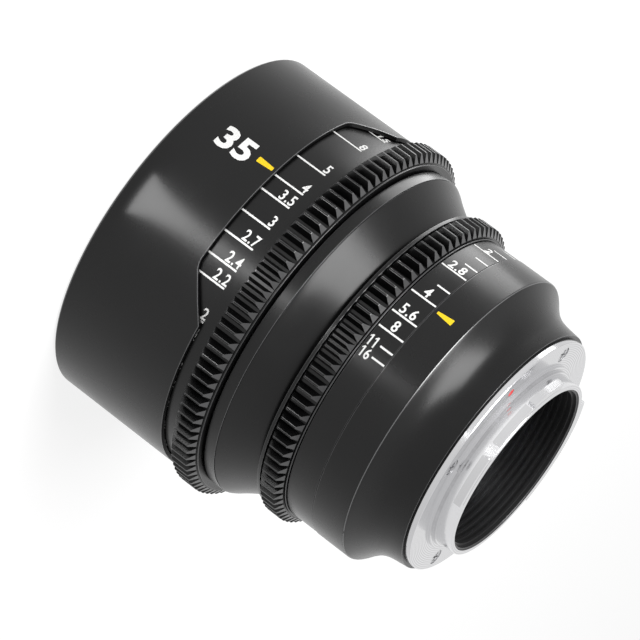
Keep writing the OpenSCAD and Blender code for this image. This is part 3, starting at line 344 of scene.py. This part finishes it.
# %% Finishes for every CAD node
FINISH = {
    CELL_BLACK: ["front_bezel", "front_cell", "front_retainer", "rear_cell", "rear_retainer",
                 "focus_cell", "focus_retainer", "iris_housing", "iris_retainer", "cam_sleeve",
                 *[f"iris_blade_{k}" for k in range(1, 10)]],
    BAFFLE: ["rear_baffle", "mount_shim"],
    ANODISED: ["front_barrel", "mid_barrel", "rear_barrel", "focus_ring", "iris_ring"],
    GLASS: ["front_element", "second_element", "focus_front_element", "focus_rear_element",
            "rear_group_element", "rear_element"],
    ALUMINIUM: ["inner_barrel"],
    BRONZE_IN_PAINTED_SHADE: ["focus_front_washer", "focus_rear_washer", "iris_ring_washer", "cam_rollers",
             "iris_cam"],
    STEEL: ["front_barrel_screws", "iris_housing_screws", "rear_barrel_screws",
            "rear_cell_screws", "focus_ring_screws", "roller_screws", "focus_stop_pin",
            "iris_drive_pin", "mount_screws"],
    CHROME: ["mount_ring"],
    RED: ["mount_dot"],
}
for material, nodes in FINISH.items():
    for node in nodes:
        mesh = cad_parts[node].data
        mesh.materials.clear()
        mesh.materials.append(material)
dressed = sum(len(nodes) for nodes in FINISH.values())
print("dressed", dressed, "of", len(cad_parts), "nodes")

# %% [markdown]
# ## The front barrel
# The outer shell has a window cut in its rear edge, with slanting sides and round corners. Cutting
# it out of a finished tube would need a boolean, which leaves ragged corners, so the shell is made
# the way a sheet-metal worker would: as a flat plate with the notch already in it, its corners
# rounded and its edges broken, then rolled up into a tube.

# %% Roll a flat plate into a tube
BARREL_R = 42.0
BARREL_IN = 41.1
BARREL_END = 30.0
CUT_SLACK = 0.00001


def cut_strips(bm, start, stop, step):
    """Cuts a flat piece across at even steps in x, so that it can be rolled smoothly."""
    count = max(1, round((stop - start) / step))
    for i in range(1, count):
        at = start + (stop - start) * i / count
        bmesh.ops.bisect_plane(bm, geom=everything(bm), dist=CUT_SLACK, plane_co=(at, 0, 0),
                               plane_no=(1, 0, 0))


def roll(bm, radius):
    """Rolls a plate round the axis: x runs round the tube of that radius, y is the radius itself."""
    for v in bm.verts:
        turn = v.co.x / radius
        v.co = Vector((v.co.y * math.sin(turn), -v.co.y * math.cos(turn), v.co.z))


print("a plate of", round(2 * math.pi * BARREL_R, 1), "mm rolls into the front barrel")

# %% [markdown]
# ### The plate and its window
# x runs round the barrel from the index, y is the radius and z the height. The plate gets its wall
# by extrusion. Its two ends meet when it is rolled, so their faces go, and below the web the lining
# goes too, because the turned core closes the wall there. The outer rim's edges are broken last, and
# those breaks take the second material, a painted highlight round the window.

# %% The rolled plate
WINDOW_Z = 22.8
WINDOW_FRONT = math.radians(34) * BARREL_R
WINDOW_REAR = math.radians(48) * BARREL_R
WINDOW_CORNER = 1.3
RIM_BREAK = 0.14
SHELL_Z = 1.0
WEB_Z = 17.0
HALF_TURN = math.pi * BARREL_R
NEAR = 0.001
plate = bmesh.new()
corners = [(-HALF_TURN, SHELL_Z), (HALF_TURN, SHELL_Z), (HALF_TURN, BARREL_END),
           (WINDOW_REAR, BARREL_END), (WINDOW_FRONT, WINDOW_Z), (-WINDOW_FRONT, WINDOW_Z),
           (-WINDOW_REAR, BARREL_END), (-HALF_TURN, BARREL_END)]
points = [plate.verts.new((x, BARREL_R, z)) for x, z in corners]
plate.faces.new(points)
bmesh.ops.bevel(plate, geom=[points[4], points[5]], offset=WINDOW_CORNER, affect="VERTICES",
                segments=6, profile=0.5, material=-1)
thicken(plate, (0, BARREL_IN - BARREL_R, 0))
ends = [f for f in plate.faces if all(abs(abs(v.co.x) - HALF_TURN) < NEAR for v in f.verts)]
bmesh.ops.delete(plate, geom=ends, context="FACES")
lining = [f for f in plate.faces if all(abs(v.co.y - BARREL_IN) < NEAR for v in f.verts)]
around = [part for part in plate.verts[:] + plate.edges[:]
          if any(f in lining for f in part.link_faces)]
bmesh.ops.bisect_plane(plate, geom=around + lining, dist=CUT_SLACK, plane_co=(0, 0, WEB_Z),
                       plane_no=(0, 0, 1))
lining = [f for f in plate.faces
          if all(abs(v.co.y - BARREL_IN) < NEAR and v.co.z < WEB_Z + NEAR for v in f.verts)]
bmesh.ops.delete(plate, geom=lining, context="FACES")
rim = [e for e in plate.edges if len(e.link_faces) == 2
       and all(abs(v.co.y - BARREL_R) < NEAR and v.co.z > SHELL_Z + NEAR for v in e.verts)]
broken = bmesh.ops.bevel(plate, geom=rim, offset=RIM_BREAK, affect="EDGES", segments=2,
                         profile=0.5, material=-1)
# The rim's breaks take the second material, the painted edge highlight.
for f in broken["faces"]:
    f.material_index = 1
cut_strips(plate, -HALF_TURN, HALF_TURN, 2 * HALF_TURN / STEPS)
roll(plate, BARREL_R)
bmesh.ops.remove_doubles(plate, verts=plate.verts, dist=SEAM_WELD)
print("plate rolled with", len(plate.faces), "faces")

# %% [markdown]
# ### The turned core with the filter thread
# Behind the front rim the wall is thick. It holds six grooves of the filter thread and a web that
# sits on the inner barrel. The thread is drawn as rings, because from outside a helix of this pitch
# looks the same and would have to be closed at both ends.

# %% The turned core
THREAD_PITCH = 0.75
THREAD_TURNS = 6
THREAD_R = 40.62
RELIEF_R = 41.04
HALF_CREST = 0.281
HALF_ROOT = 0.094
THREAD_END = 5.025
CORE_BACK = 14
LEAD_IN = 0.4
SPINE_R = 33.53
thread = []
for i in range(THREAD_TURNS, 0, -1):
    z = i * THREAD_PITCH
    thread += [(THREAD_R, z + HALF_CREST), (RELIEF_R, z + HALF_ROOT), (RELIEF_R, z - HALF_ROOT),
               (THREAD_R, z - HALF_CREST)]
barrel = bmesh.new()
add_turned(barrel, [(BARREL_IN, WEB_Z), (SPINE_R, WEB_Z), (SPINE_R, CORE_BACK),
                    (RELIEF_R, CORE_BACK), (RELIEF_R, THREAD_END), (THREAD_R, THREAD_END), *thread,
                    (THREAD_R, LEAD_IN), (THREAD_R + LEAD_IN, 0), (BARREL_R - LEAD_IN, 0, 0.08),
                    (BARREL_R, LEAD_IN, 0.08), (BARREL_R, SHELL_Z)], gap=True)
join_into(barrel, plate)
finish_piece(barrel, "front_barrel_shell", "barrel", ANODISED, ["front_barrel"],
             EDGE_PAINTED_HIGHLIGHT)

# %% [markdown]
# ## The geared rings
# Both rings carry a follow-focus gear of 0.8 mm module. One tooth is a trapezoid standing on a slice
# of the root: the slice is drawn flat, extruded to the gear's width, both its ends are sloped by a
# slanted cut, and the tip's edges are broken. The slice is then spun as copies, one for each tooth,
# which keeps a tooth at a few dozen faces and gives every tooth the same crisp land. An array
# modifier could repeat it too, but the walls between neighbours have to go, and they go here once.

# %% One tooth, spun round the ring
MODULE = 0.8
HALF_LAND = 0.085
HALF_FOOT = 0.37
SIDE_SLACK = 0.0001
ROOT_STEP = 0.05
LAND_DEPTH = 0.02
LAND_BREAK = 0.08


def add_gear(bm, teeth, z, width, front, rear, hub):
    """Adds a ring of teeth on a thin root wall, with its front and rear ends turned to a slope."""
    tip = MODULE * (teeth / 2 + 1)
    root = MODULE * (teeth / 2 - 1.25)
    step = 2 * math.pi / teeth

    def at(r, share):
        """A point at a radius, and at a share of one tooth's step from its middle."""
        return (r * math.cos(share * step), r * math.sin(share * step), z)

    one = bmesh.new()
    outline = [at(hub, -0.5), at(root, -0.5), at(root, -HALF_FOOT), at(tip, -HALF_LAND),
               at(tip, HALF_LAND), at(root, HALF_FOOT), at(root, 0.5), at(hub, 0.5)]
    one.faces.new([one.verts.new(p) for p in outline])
    thicken(one, (0, 0, width))
    for side in (-step / 2, step / 2):
        shared = [f for f in one.faces
                  if all(abs(math.atan2(v.co.y, v.co.x) - side) < SIDE_SLACK for v in f.verts)]
        bmesh.ops.delete(one, geom=shared, context="FACES")
    for slope, end, way in ((front, z, -1), (rear, z + width, 1)):
        cut = bmesh.ops.bisect_plane(one, geom=everything(one), dist=CUT_SLACK,
                                     plane_co=(root + ROOT_STEP, 0, end),
                                     plane_no=(slope, 0, way * (tip - root)), clear_outer=True)
        edges = [e for e in cut["geom_cut"] if isinstance(e, bmesh.types.BMEdge)]
        ends = bmesh.ops.edgenet_fill(one, edges=edges)
        # The sloped ends take the second material, the painted tooth highlight.
        for f in ends["faces"]:
            f.material_index = 1
    lands = [e for e in one.edges if len(e.link_faces) == 2
             and all(math.hypot(v.co.x, v.co.y) > tip - LAND_DEPTH for v in e.verts)]
    broken = bmesh.ops.bevel(one, geom=lands, offset=LAND_BREAK, affect="EDGES", segments=1,
                             profile=0.5, material=-1)
    # The broken tip edges take the painted tooth highlight too.
    for f in broken["faces"]:
        f.material_index = 1
    bmesh.ops.spin(one, geom=everything(one), cent=(0, 0, 0), axis=(0, 0, 1),
                   angle=2 * math.pi * (teeth - 1) / teeth, steps=teeth - 1, use_duplicate=True)
    bmesh.ops.remove_doubles(one, verts=one.verts, dist=SEAM_WELD)
    bmesh.ops.recalc_face_normals(one, faces=one.faces)
    print(f"gear: {teeth} teeth, tip {tip:.2f} mm, root {root:.2f} mm, {len(one.faces)} faces")
    join_into(bm, one)


print("teeth stand", round(math.pi * MODULE, 3), "mm apart")

# %% [markdown]
# ### The focus ring
# In front of its gear this ring has a long smooth skirt, which carries the scale and shows through
# the barrel's window. Skirt, gear seat and rear flange are one turning, and the teeth stand on it as
# a ring of their own, so that neither has to be cut into the other.

# %% Focus ring
SCALE_R = 40.85
focus = bmesh.new()
add_gear(focus, teeth=107, z=33.1, width=6.1, front=1.1, rear=1.1, hub=40.9)
add_turned(focus, [(39.35, 20.3), (SCALE_R, 20.3, 0.12), (SCALE_R, 33.1), (41.7, 33.12),
                   (41.7, 39.18), (41.5, 39.22), (41.5, 39.65, 0.1), (38.6, 39.65), (38.6, 38.6),
                   (35.53, 38.6), (35.53, 31.6), (39.35, 31.6)])
finish_piece(focus, "focus_ring_body", "focus_ring", GEAR_BLACK, ["focus_ring"],
             TOOTH_PAINTED_HIGHLIGHT)

# %% [markdown]
# ### The iris ring
# The smaller ring has its gear in front and its T scale behind, with a thin raised ring between
# them whose narrow top takes the painted edge highlight as a fine line of light. It is made as the
# focus ring is, and the thin ring is part of the turned outline, because a separate hoop would leave
# a seam where none is on the real one.

# %% Iris ring
IRIS_R = 35.1
iris = bmesh.new()
add_gear(iris, teeth=92, z=52.2, width=5.5, front=0.9, rear=1.05, hub=34.9)
add_turned(iris, [(33.55, 51.4), (36.7, 51.4, 0.12), (36.7, 52.2, 0.12), (35.7, 52.22),
                  (35.7, 57.66), (34.5, 57.68), (34.5, 57.8), (35.4, 57.8, 0.08),
                  (35.4, 58.15, 0.08), (34.5, 58.15), (34.5, 58.3), (IRIS_R, 58.3, 0.12),
                  (IRIS_R, 64.95, 0.12), (33.55, 64.95)])
finish_piece(iris, "iris_ring_body", "iris_ring", GEAR_BLACK, ["iris_ring"],
             TOOTH_PAINTED_HIGHLIGHT)

# %% [markdown]
# ## Mid and rear barrels
# Two plain turned shells. The mid barrel has a straight collar, a fine groove and a long sloping
# shoulder that flattens towards the iris ring. The rear barrel is a straight band whose edge breaks
# into a short steep shoulder, which sweeps out into the neck in front of the mount. A curve through
# three or four handles would be easier to edit, but the sweeps were measured point by point, so
# they are given as points a millimetre apart, and smooth shading joins them.

# %% Mid barrel
mid = bmesh.new()
add_turned(mid, [(38.9, 40.1), (40.1, 40.1, 0.12), (40.1, 42.7, 0.06), (39.85, 42.7),
                 (39.85, 42.9), (39.95, 42.9), (39.66, 43.35), (39.2, 43.93), (38.48, 44.92),
                 (37.81, 45.91), (37.18, 46.9), (36.57, 47.89), (35.97, 48.88), (35.4, 49.87),
                 (34.6, 51.15), (SPINE_R, 51.15), (SPINE_R, 43), (38.9, 43)])
finish_piece(mid, "mid_barrel_shell", "barrel", ANODISED, ["mid_barrel"],
             EDGE_PAINTED_HIGHLIGHT)

# %% Rear barrel
BAND_R = 35.2
rear = bmesh.new()
add_turned(rear, [(SPINE_R, 65.05), (BAND_R, 65.05, 0.12), (BAND_R, 72.95), (35.16, 73.16),
                  (35.04, 73.32), (34.62, 73.72), (33.63, 74.5), (32.68, 75.4), (31.81, 76.3),
                  (31.08, 77.3), (30.54, 78.3), (30.19, 79.3), (29.96, 80.3), (29.8, 81.3),
                  (29.66, 82.5), (29.45, 84.1, 0.06), (22.6, 84.1), (22.6, 80), (27.25, 80),
                  (32.8, 72.95), (33.8, 71.05), (22.03, 71.05), (22.03, 68.45), (SPINE_R, 68.45)])
finish_piece(rear, "rear_barrel_shell", "barrel", ANODISED, ["rear_barrel"],
             EDGE_PAINTED_HIGHLIGHT)

# %% [markdown]
# ## Scales and index marks
# The scales are paint in engraved lines. Each line or numeral is a flat shape drawn on the rolled-out
# surface, cut into narrow strips, thickened and rolled onto its ring, so that it follows the curve
# exactly. A shrinkwrap or a decal image would blur the crisp ends.

# %% A flat mark, rolled on its ring
PROUD = 0.02
SUNK = 0.06
STRIP = 0.45
END_ROUND = 0.35


def place_mark(bm, radius):
    """Gives a flat mark its thickness and rolls it on a ring. x runs round, z along the axis."""
    xs = [v.co.x for v in bm.verts]
    cut_strips(bm, min(xs), max(xs), STRIP)
    for v in bm.verts:
        v.co.y = radius + PROUD
    bmesh.ops.recalc_face_normals(bm, faces=bm.faces)
    thicken(bm, (0, -SUNK, 0))
    roll(bm, radius)
    bmesh.ops.recalc_face_normals(bm, faces=bm.faces)


def add_bar(bm, radius, angle, z0, z1, width, width_end=None):
    """A bar along the axis at an angle from the index, with slightly round ends."""
    one = bmesh.new()
    x = math.radians(angle) * radius
    half = width / 2
    half_end = half if width_end is None else width_end / 2
    points = [one.verts.new(p) for p in ((x - half, 0, z0), (x + half, 0, z0),
                                         (x + half_end, 0, z1), (x - half_end, 0, z1))]
    one.faces.new(points)
    bmesh.ops.bevel(one, geom=points, offset=min(half, half_end) * END_ROUND, affect="VERTICES",
                    segments=2, profile=0.5, material=-1)
    place_mark(one, radius)
    join_into(bm, one)


print("marks stand", PROUD, "mm proud and reach", round(SUNK - PROUD, 3), "mm into the metal")

# %% [markdown]
# ### Numerals
# Real numerals are engraved with a condensed cutter. Here they come from Blender's own typeface,
# squeezed and emboldened, and made a mesh before they are placed. That typeface's 1 is a bare bar,
# which would read as one more scale line, so each 1 is redrawn with a flag at its head.

# %% Numerals on a ring
TEXT_WELD = 0.0001
STRAIGHT = 0.01
SLENDER = 3
FLAG_REACH = 0.2
FLAG_TOP = 0.16
FLAG_FOOT = 0.3
FLAG_BACK = 0.02


def islands(bm):
    """The groups of faces that hang together. A group grows while it is walked through."""
    seen = set()
    found = []
    for first in bm.faces:
        if first in seen:
            continue
        seen.add(first)
        group = [first]
        for face in group:
            for near in [f for e in face.edges for f in e.link_faces if f not in seen]:
                seen.add(near)
                group.append(near)
        found.append(group)
    return found


def flag_ones(bm):
    """Redraws each bare bar with a flag. The flag's sizes are shares of the numeral's height."""
    for group in islands(bm):
        xs = [v.co.x for f in group for v in f.verts]
        ys = [v.co.y for f in group for v in f.verts]
        x0 = min(xs)
        x1 = max(xs)
        y0 = min(ys)
        y1 = max(ys)
        tall = y1 - y0
        if tall < SLENDER * (x1 - x0):
            continue
        bmesh.ops.delete(bm, geom=group, context="FACES")
        tip = x0 - FLAG_REACH * tall
        bar = [(x0, y0), (x1, y0), (x1, y1), (x0 + FLAG_BACK * tall, y1),
               (tip, y1 - FLAG_TOP * tall), (tip, y1 - FLAG_FOOT * tall),
               (x0, y1 - FLAG_REACH * tall)]
        bm.faces.new([bm.verts.new((x, y, 0)) for x, y in bar])


def add_text(bm, radius, angle, z, words, height, squeeze=0.78, bold=0.017, align="LEFT",
             lift=0.0, gap=1.12):
    """Numerals that read along the axis. Their feet stand at the angle, plus a lift in mm."""
    curve = bpy.data.curves.new("numeral", "FONT")
    curve.body = words
    curve.size = 1.0
    curve.offset = bold
    curve.resolution_u = 3
    curve.space_character = gap
    curve.align_x = align
    holder = bpy.data.objects.new("numeral", curve)
    bpy.context.scene.collection.objects.link(holder)
    bpy.context.view_layer.update()
    mesh = bpy.data.meshes.new_from_object(holder)
    bpy.data.objects.remove(holder)
    bpy.data.curves.remove(curve)
    one = bmesh.new()
    one.from_mesh(mesh)
    bpy.data.meshes.remove(mesh)
    bmesh.ops.remove_doubles(one, verts=one.verts, dist=TEXT_WELD)
    bmesh.ops.dissolve_limit(one, angle_limit=STRAIGHT, verts=one.verts, edges=one.edges)
    flag_ones(one)
    feet = min(v.co.y for v in one.verts)
    grow = height / (max(v.co.y for v in one.verts) - feet)
    x = math.radians(angle) * radius
    for v in one.verts:
        v.co = Vector((x - lift - (v.co.y - feet) * grow, 0, z + v.co.x * grow * squeeze))
    place_mark(one, radius)
    join_into(bm, one)


print("numerals ready")

# %% [markdown]
# ### The focus scale, in feet
# One line and one numeral for each distance. The numeral stands on its line, at the end next to the
# gear. Angles run from the index mark towards the near end of the scale. They follow the photograph
# where it shows them and carry on by the same law where it doesn't.

# %% Focus scale
LINE_WIDTH = 0.42
FOCUS_FROM = 22.6
FOCUS_TO = 30.05
FOCUS_NUMERAL_END = 30.15
NUMERAL_HEIGHT = 2.6
INFINITY_AT = -58.0
FOCUS_LINES = [("15", -41.0), ("8", -27.2), ("5", -9.8), ("4", 0.0), ("3.5", 5.9), ("3", 14.25),
               ("2.7", 21.9), ("2.4", 29.5), ("2.2", 35.5), ("2", 47.0), ("1.8", 53.0),
               ("1.6", 63.5), ("1.5", 70.5), ("1.4", 79.0), ("1.3", 90.0), ("1.2", 101.5)]
focus_marks = bmesh.new()
for words, angle in FOCUS_LINES:
    add_bar(focus_marks, SCALE_R, angle, FOCUS_FROM, FOCUS_TO, LINE_WIDTH)
    add_text(focus_marks, SCALE_R, angle, FOCUS_NUMERAL_END, words, NUMERAL_HEIGHT,
             align="RIGHT", lift=0.4)
add_bar(focus_marks, SCALE_R, INFINITY_AT, FOCUS_FROM, FOCUS_TO, LINE_WIDTH)
add_text(focus_marks, SCALE_R, INFINITY_AT, 30.1, "∞", 1.5, align="RIGHT", lift=0.6, squeeze=0.9)
finish_piece(focus_marks, "focus_scale", "focus_ring", WHITE)

# %% [markdown]
# ### The iris scale, in T stops
# The stops from 1.5 to 8 have a long line with the numeral standing on its middle, and 11 and 16 a
# short one with the numeral in line with it, which saves room where the stops come close together.
# The short bare lines between them are parts of a stop.

# %% Iris scale
T_FROM = 58.5
T_SHORT_FROM = 61.6
T_TO = 64.8
T_NUMERAL_MIDDLE = 61.5
T_NUMERAL_END = 61.1
T_LINES = [("1.5", -63.0), ("2", -37.7), ("2.8", -17.0), ("4", -0.8), ("5.6", 9.0), ("8", 15.8)]
T_TICKS = [("11", 21.3), ("16", 25.8)]
T_PARTS = [-8.1, -23.6, -30.3, -44.3, -52.8]
iris_marks = bmesh.new()
for words, angle in T_LINES:
    add_bar(iris_marks, IRIS_R, angle, T_FROM, T_TO, LINE_WIDTH)
    add_text(iris_marks, IRIS_R, angle, T_NUMERAL_MIDDLE, words, NUMERAL_HEIGHT, align="CENTER",
             lift=0.4, squeeze=0.84)
for words, angle in T_TICKS:
    add_bar(iris_marks, IRIS_R, angle, T_SHORT_FROM, T_TO, LINE_WIDTH)
    add_text(iris_marks, IRIS_R, angle, T_NUMERAL_END, words, 2.4, align="RIGHT", lift=-1.2,
             gap=0.98)
for angle in T_PARTS:
    add_bar(iris_marks, IRIS_R, angle, T_SHORT_FROM, T_TO, LINE_WIDTH)
finish_piece(iris_marks, "iris_scale", "iris_ring", WHITE)

# %% [markdown]
# ### Index marks and the focal length
# Two yellow wedges stand still on the barrels and point at the scales. Each is a bar whose two ends
# differ in width, so the same helper draws it. The plain "35" beside the front one is the focal
# length in millimetres, in the same typeface as the numerals, made wider and heavier.

# %% Index marks and the focal length
index = bmesh.new()
add_bar(index, BARREL_R, 0, 18.05, 22.0, width=1.45, width_end=0.88)
add_bar(index, BAND_R, 0.5, 65.85, 69.75, width=0.62, width_end=1.5)
finish_piece(index, "index_marks", "barrel", YELLOW)
focal = bmesh.new()
add_text(focal, BARREL_R, 4.2, 8.15, "35", 5.75, bold=0.034, squeeze=1.13, gap=1.04)
finish_piece(focal, "focal_length", "barrel", WHITE)

# %% [markdown]
# ## Floor and surround
# A pale floor and a plain bright surround. What the camera, the metal and the glass see of them is
# white, while their light on the object stays weak, so that black stays black and paint keeps its
# colour. Lamps strong enough to make real paper white would bleach them. A mix shader with the
# Light Path node tells those rays apart. The floor keeps its plain side under the glow, which is
# how the lens still casts a shadow on it.

# %% Floor and surround
FLOOR_DROP = 0.0002
FLOOR_R = 3.0
FLOOR_GREY = 0.22
FLOOR_GLOW = 0.86
SKY_LIGHT = 0.08


def seen_rays(tree):
    """One for the rays that show the background: from the camera, off metal and through glass."""
    rays = tree.nodes.new("ShaderNodeLightPath")
    total = rays.outputs["Is Camera Ray"]
    for name in ("Is Glossy Ray", "Is Transmission Ray"):
        either = tree.nodes.new("ShaderNodeMath")
        either.operation = "MAXIMUM"
        tree.links.new(total, either.inputs[0])
        tree.links.new(rays.outputs[name], either.inputs[1])
        total = either.outputs[0]
    return total


def pick_by_ray(tree, lighting, seen, surface):
    """Joins what lights the object and what is seen of the background into one surface."""
    pick = tree.nodes.new("ShaderNodeMixShader")
    tree.links.new(seen_rays(tree), pick.inputs["Fac"])
    tree.links.new(lighting, pick.inputs[1])
    tree.links.new(seen, pick.inputs[2])
    tree.links.new(pick.outputs["Shader"], surface)


floor_mesh = bpy.data.meshes.new("floor")
ground = bmesh.new()
bmesh.ops.create_circle(ground, cap_ends=True, radius=FLOOR_R, segments=96)
ground.to_mesh(floor_mesh)
ground.free()
floor = bpy.data.objects.new("floor", floor_mesh)
bpy.context.scene.collection.objects.link(floor)
floor.location.z = -FLOOR_DROP
paper = bpy.data.materials.new("pale_floor")
paper.use_nodes = True
tree = paper.node_tree
tree.nodes.clear()
out = tree.nodes.new("ShaderNodeOutputMaterial")
diffuse = tree.nodes.new("ShaderNodeBsdfDiffuse")
diffuse.inputs["Color"].default_value = (FLOOR_GREY, FLOOR_GREY, FLOOR_GREY, 1)
glow = tree.nodes.new("ShaderNodeEmission")
glow.inputs["Strength"].default_value = FLOOR_GLOW
both = tree.nodes.new("ShaderNodeAddShader")
tree.links.new(diffuse.outputs["BSDF"], both.inputs[0])
tree.links.new(glow.outputs["Emission"], both.inputs[1])
pick_by_ray(tree, diffuse.outputs["BSDF"], both.outputs["Shader"], out.inputs["Surface"])
floor_mesh.materials.append(paper)

world = bpy.data.worlds.new("surround")
bpy.context.scene.world = world
world.use_nodes = True
sky = world.node_tree
back = sky.nodes["Background"]
white = sky.nodes.new("ShaderNodeBackground")
for shade, strength in ((back, SKY_LIGHT), (white, 1.0)):
    shade.inputs["Color"].default_value = (1, 1, 1, 1)
    shade.inputs["Strength"].default_value = strength
pick_by_ray(sky, back.outputs["Background"], white.outputs["Background"],
            sky.nodes["World Output"].inputs["Surface"])
print("floor of", FLOOR_R, "m and surround ready")

# %% [markdown]
# ## Lamps
# One large soft lamp stands high over the index side and draws the broad highlights on the sloping
# walls. Upright walls mirror the floor, so the two low lamps lie on it: a narrow strip for the thin
# streak down the walls and a weak one on the far left. A small spot lamp would give hard glints
# instead of these bands.

# %% Lamps
LENS_MIDDLE = Vector((0, 0, 0.045))
ABOVE_FLOOR = 0.002


def area_lamp(name, wide, high, radiance):
    """A rectangular lamp, hidden from the camera, whose power follows from its size."""
    lamp = bpy.data.lights.new(name, "AREA")
    lamp.shape = "RECTANGLE"
    lamp.size = wide
    lamp.size_y = high
    lamp.energy = radiance * math.pi * wide * high
    ob = bpy.data.objects.new(name, lamp)
    bpy.context.scene.collection.objects.link(ob)
    ob.visible_camera = False
    print(f"{name}: {radiance} over {wide:.3f} x {high} m")
    return ob


def high_lamp(name, azimuth, elevation, distance, wide, high, radiance):
    """A lamp that faces the lens, placed by its direction from the lens."""
    ob = area_lamp(name, wide, high, radiance)
    a = math.radians(azimuth)
    e = math.radians(elevation)
    way = Vector((math.cos(a) * math.cos(e), math.sin(a) * math.cos(e), math.sin(e)))
    ob.location = LENS_MIDDLE + way * distance
    ob.rotation_mode = "QUATERNION"
    ob.rotation_quaternion = way.to_track_quat("Z", "Y")


def floor_lamp(name, azimuth, inner, outer, width, radiance):
    """A low lamp that lies on the floor and points up, reaching out from the lens."""
    ob = area_lamp(name, outer - inner, width, radiance)
    a = math.radians(azimuth)
    reach = (inner + outer) / 2
    ob.location = (reach * math.cos(a), reach * math.sin(a), ABOVE_FLOOR)
    ob.rotation_euler = (math.pi, 0, a)


high_lamp("key", azimuth=-107, elevation=52, distance=0.8, wide=0.48, high=0.68, radiance=11.5)
floor_lamp("low_strip", azimuth=-62, inner=0.046, outer=0.3, width=0.012, radiance=11.0)
floor_lamp("low_left", azimuth=-166, inner=0.11, outer=0.32, width=0.12, radiance=5.0)

# %% [markdown]
# ## Camera
# A long lens about 0.7 m away, rolled so that the optical axis runs slantwise through the picture.
# Its place and turn were fitted to both rings, all edges and both scales, and are written down as
# three axes and a point, which says exactly what the fit found. Angles would hide it in a formula.

# %% Camera
camera_data = bpy.data.cameras.new("camera")
camera_data.sensor_width = 36
camera_data.lens = 192.3
camera_data.clip_start = 0.01
camera_data.clip_end = 20
camera = bpy.data.objects.new("camera", camera_data)
bpy.context.scene.collection.objects.link(camera)
right = Vector((-0.64723, -0.04888, 0.76072))
up = Vector((-0.62818, -0.53110, -0.56860))
forward = Vector((-0.43181, 0.84589, -0.31304))
placed = Matrix((right, up, -forward)).transposed().to_4x4()
placed.translation = Vector((0.30995, -0.60831, 0.26177))
camera.matrix_world = placed
bpy.context.scene.camera = camera
bpy.context.scene.view_settings.view_transform = "Standard"
print("camera", [round(v, 4) for v in camera.location])
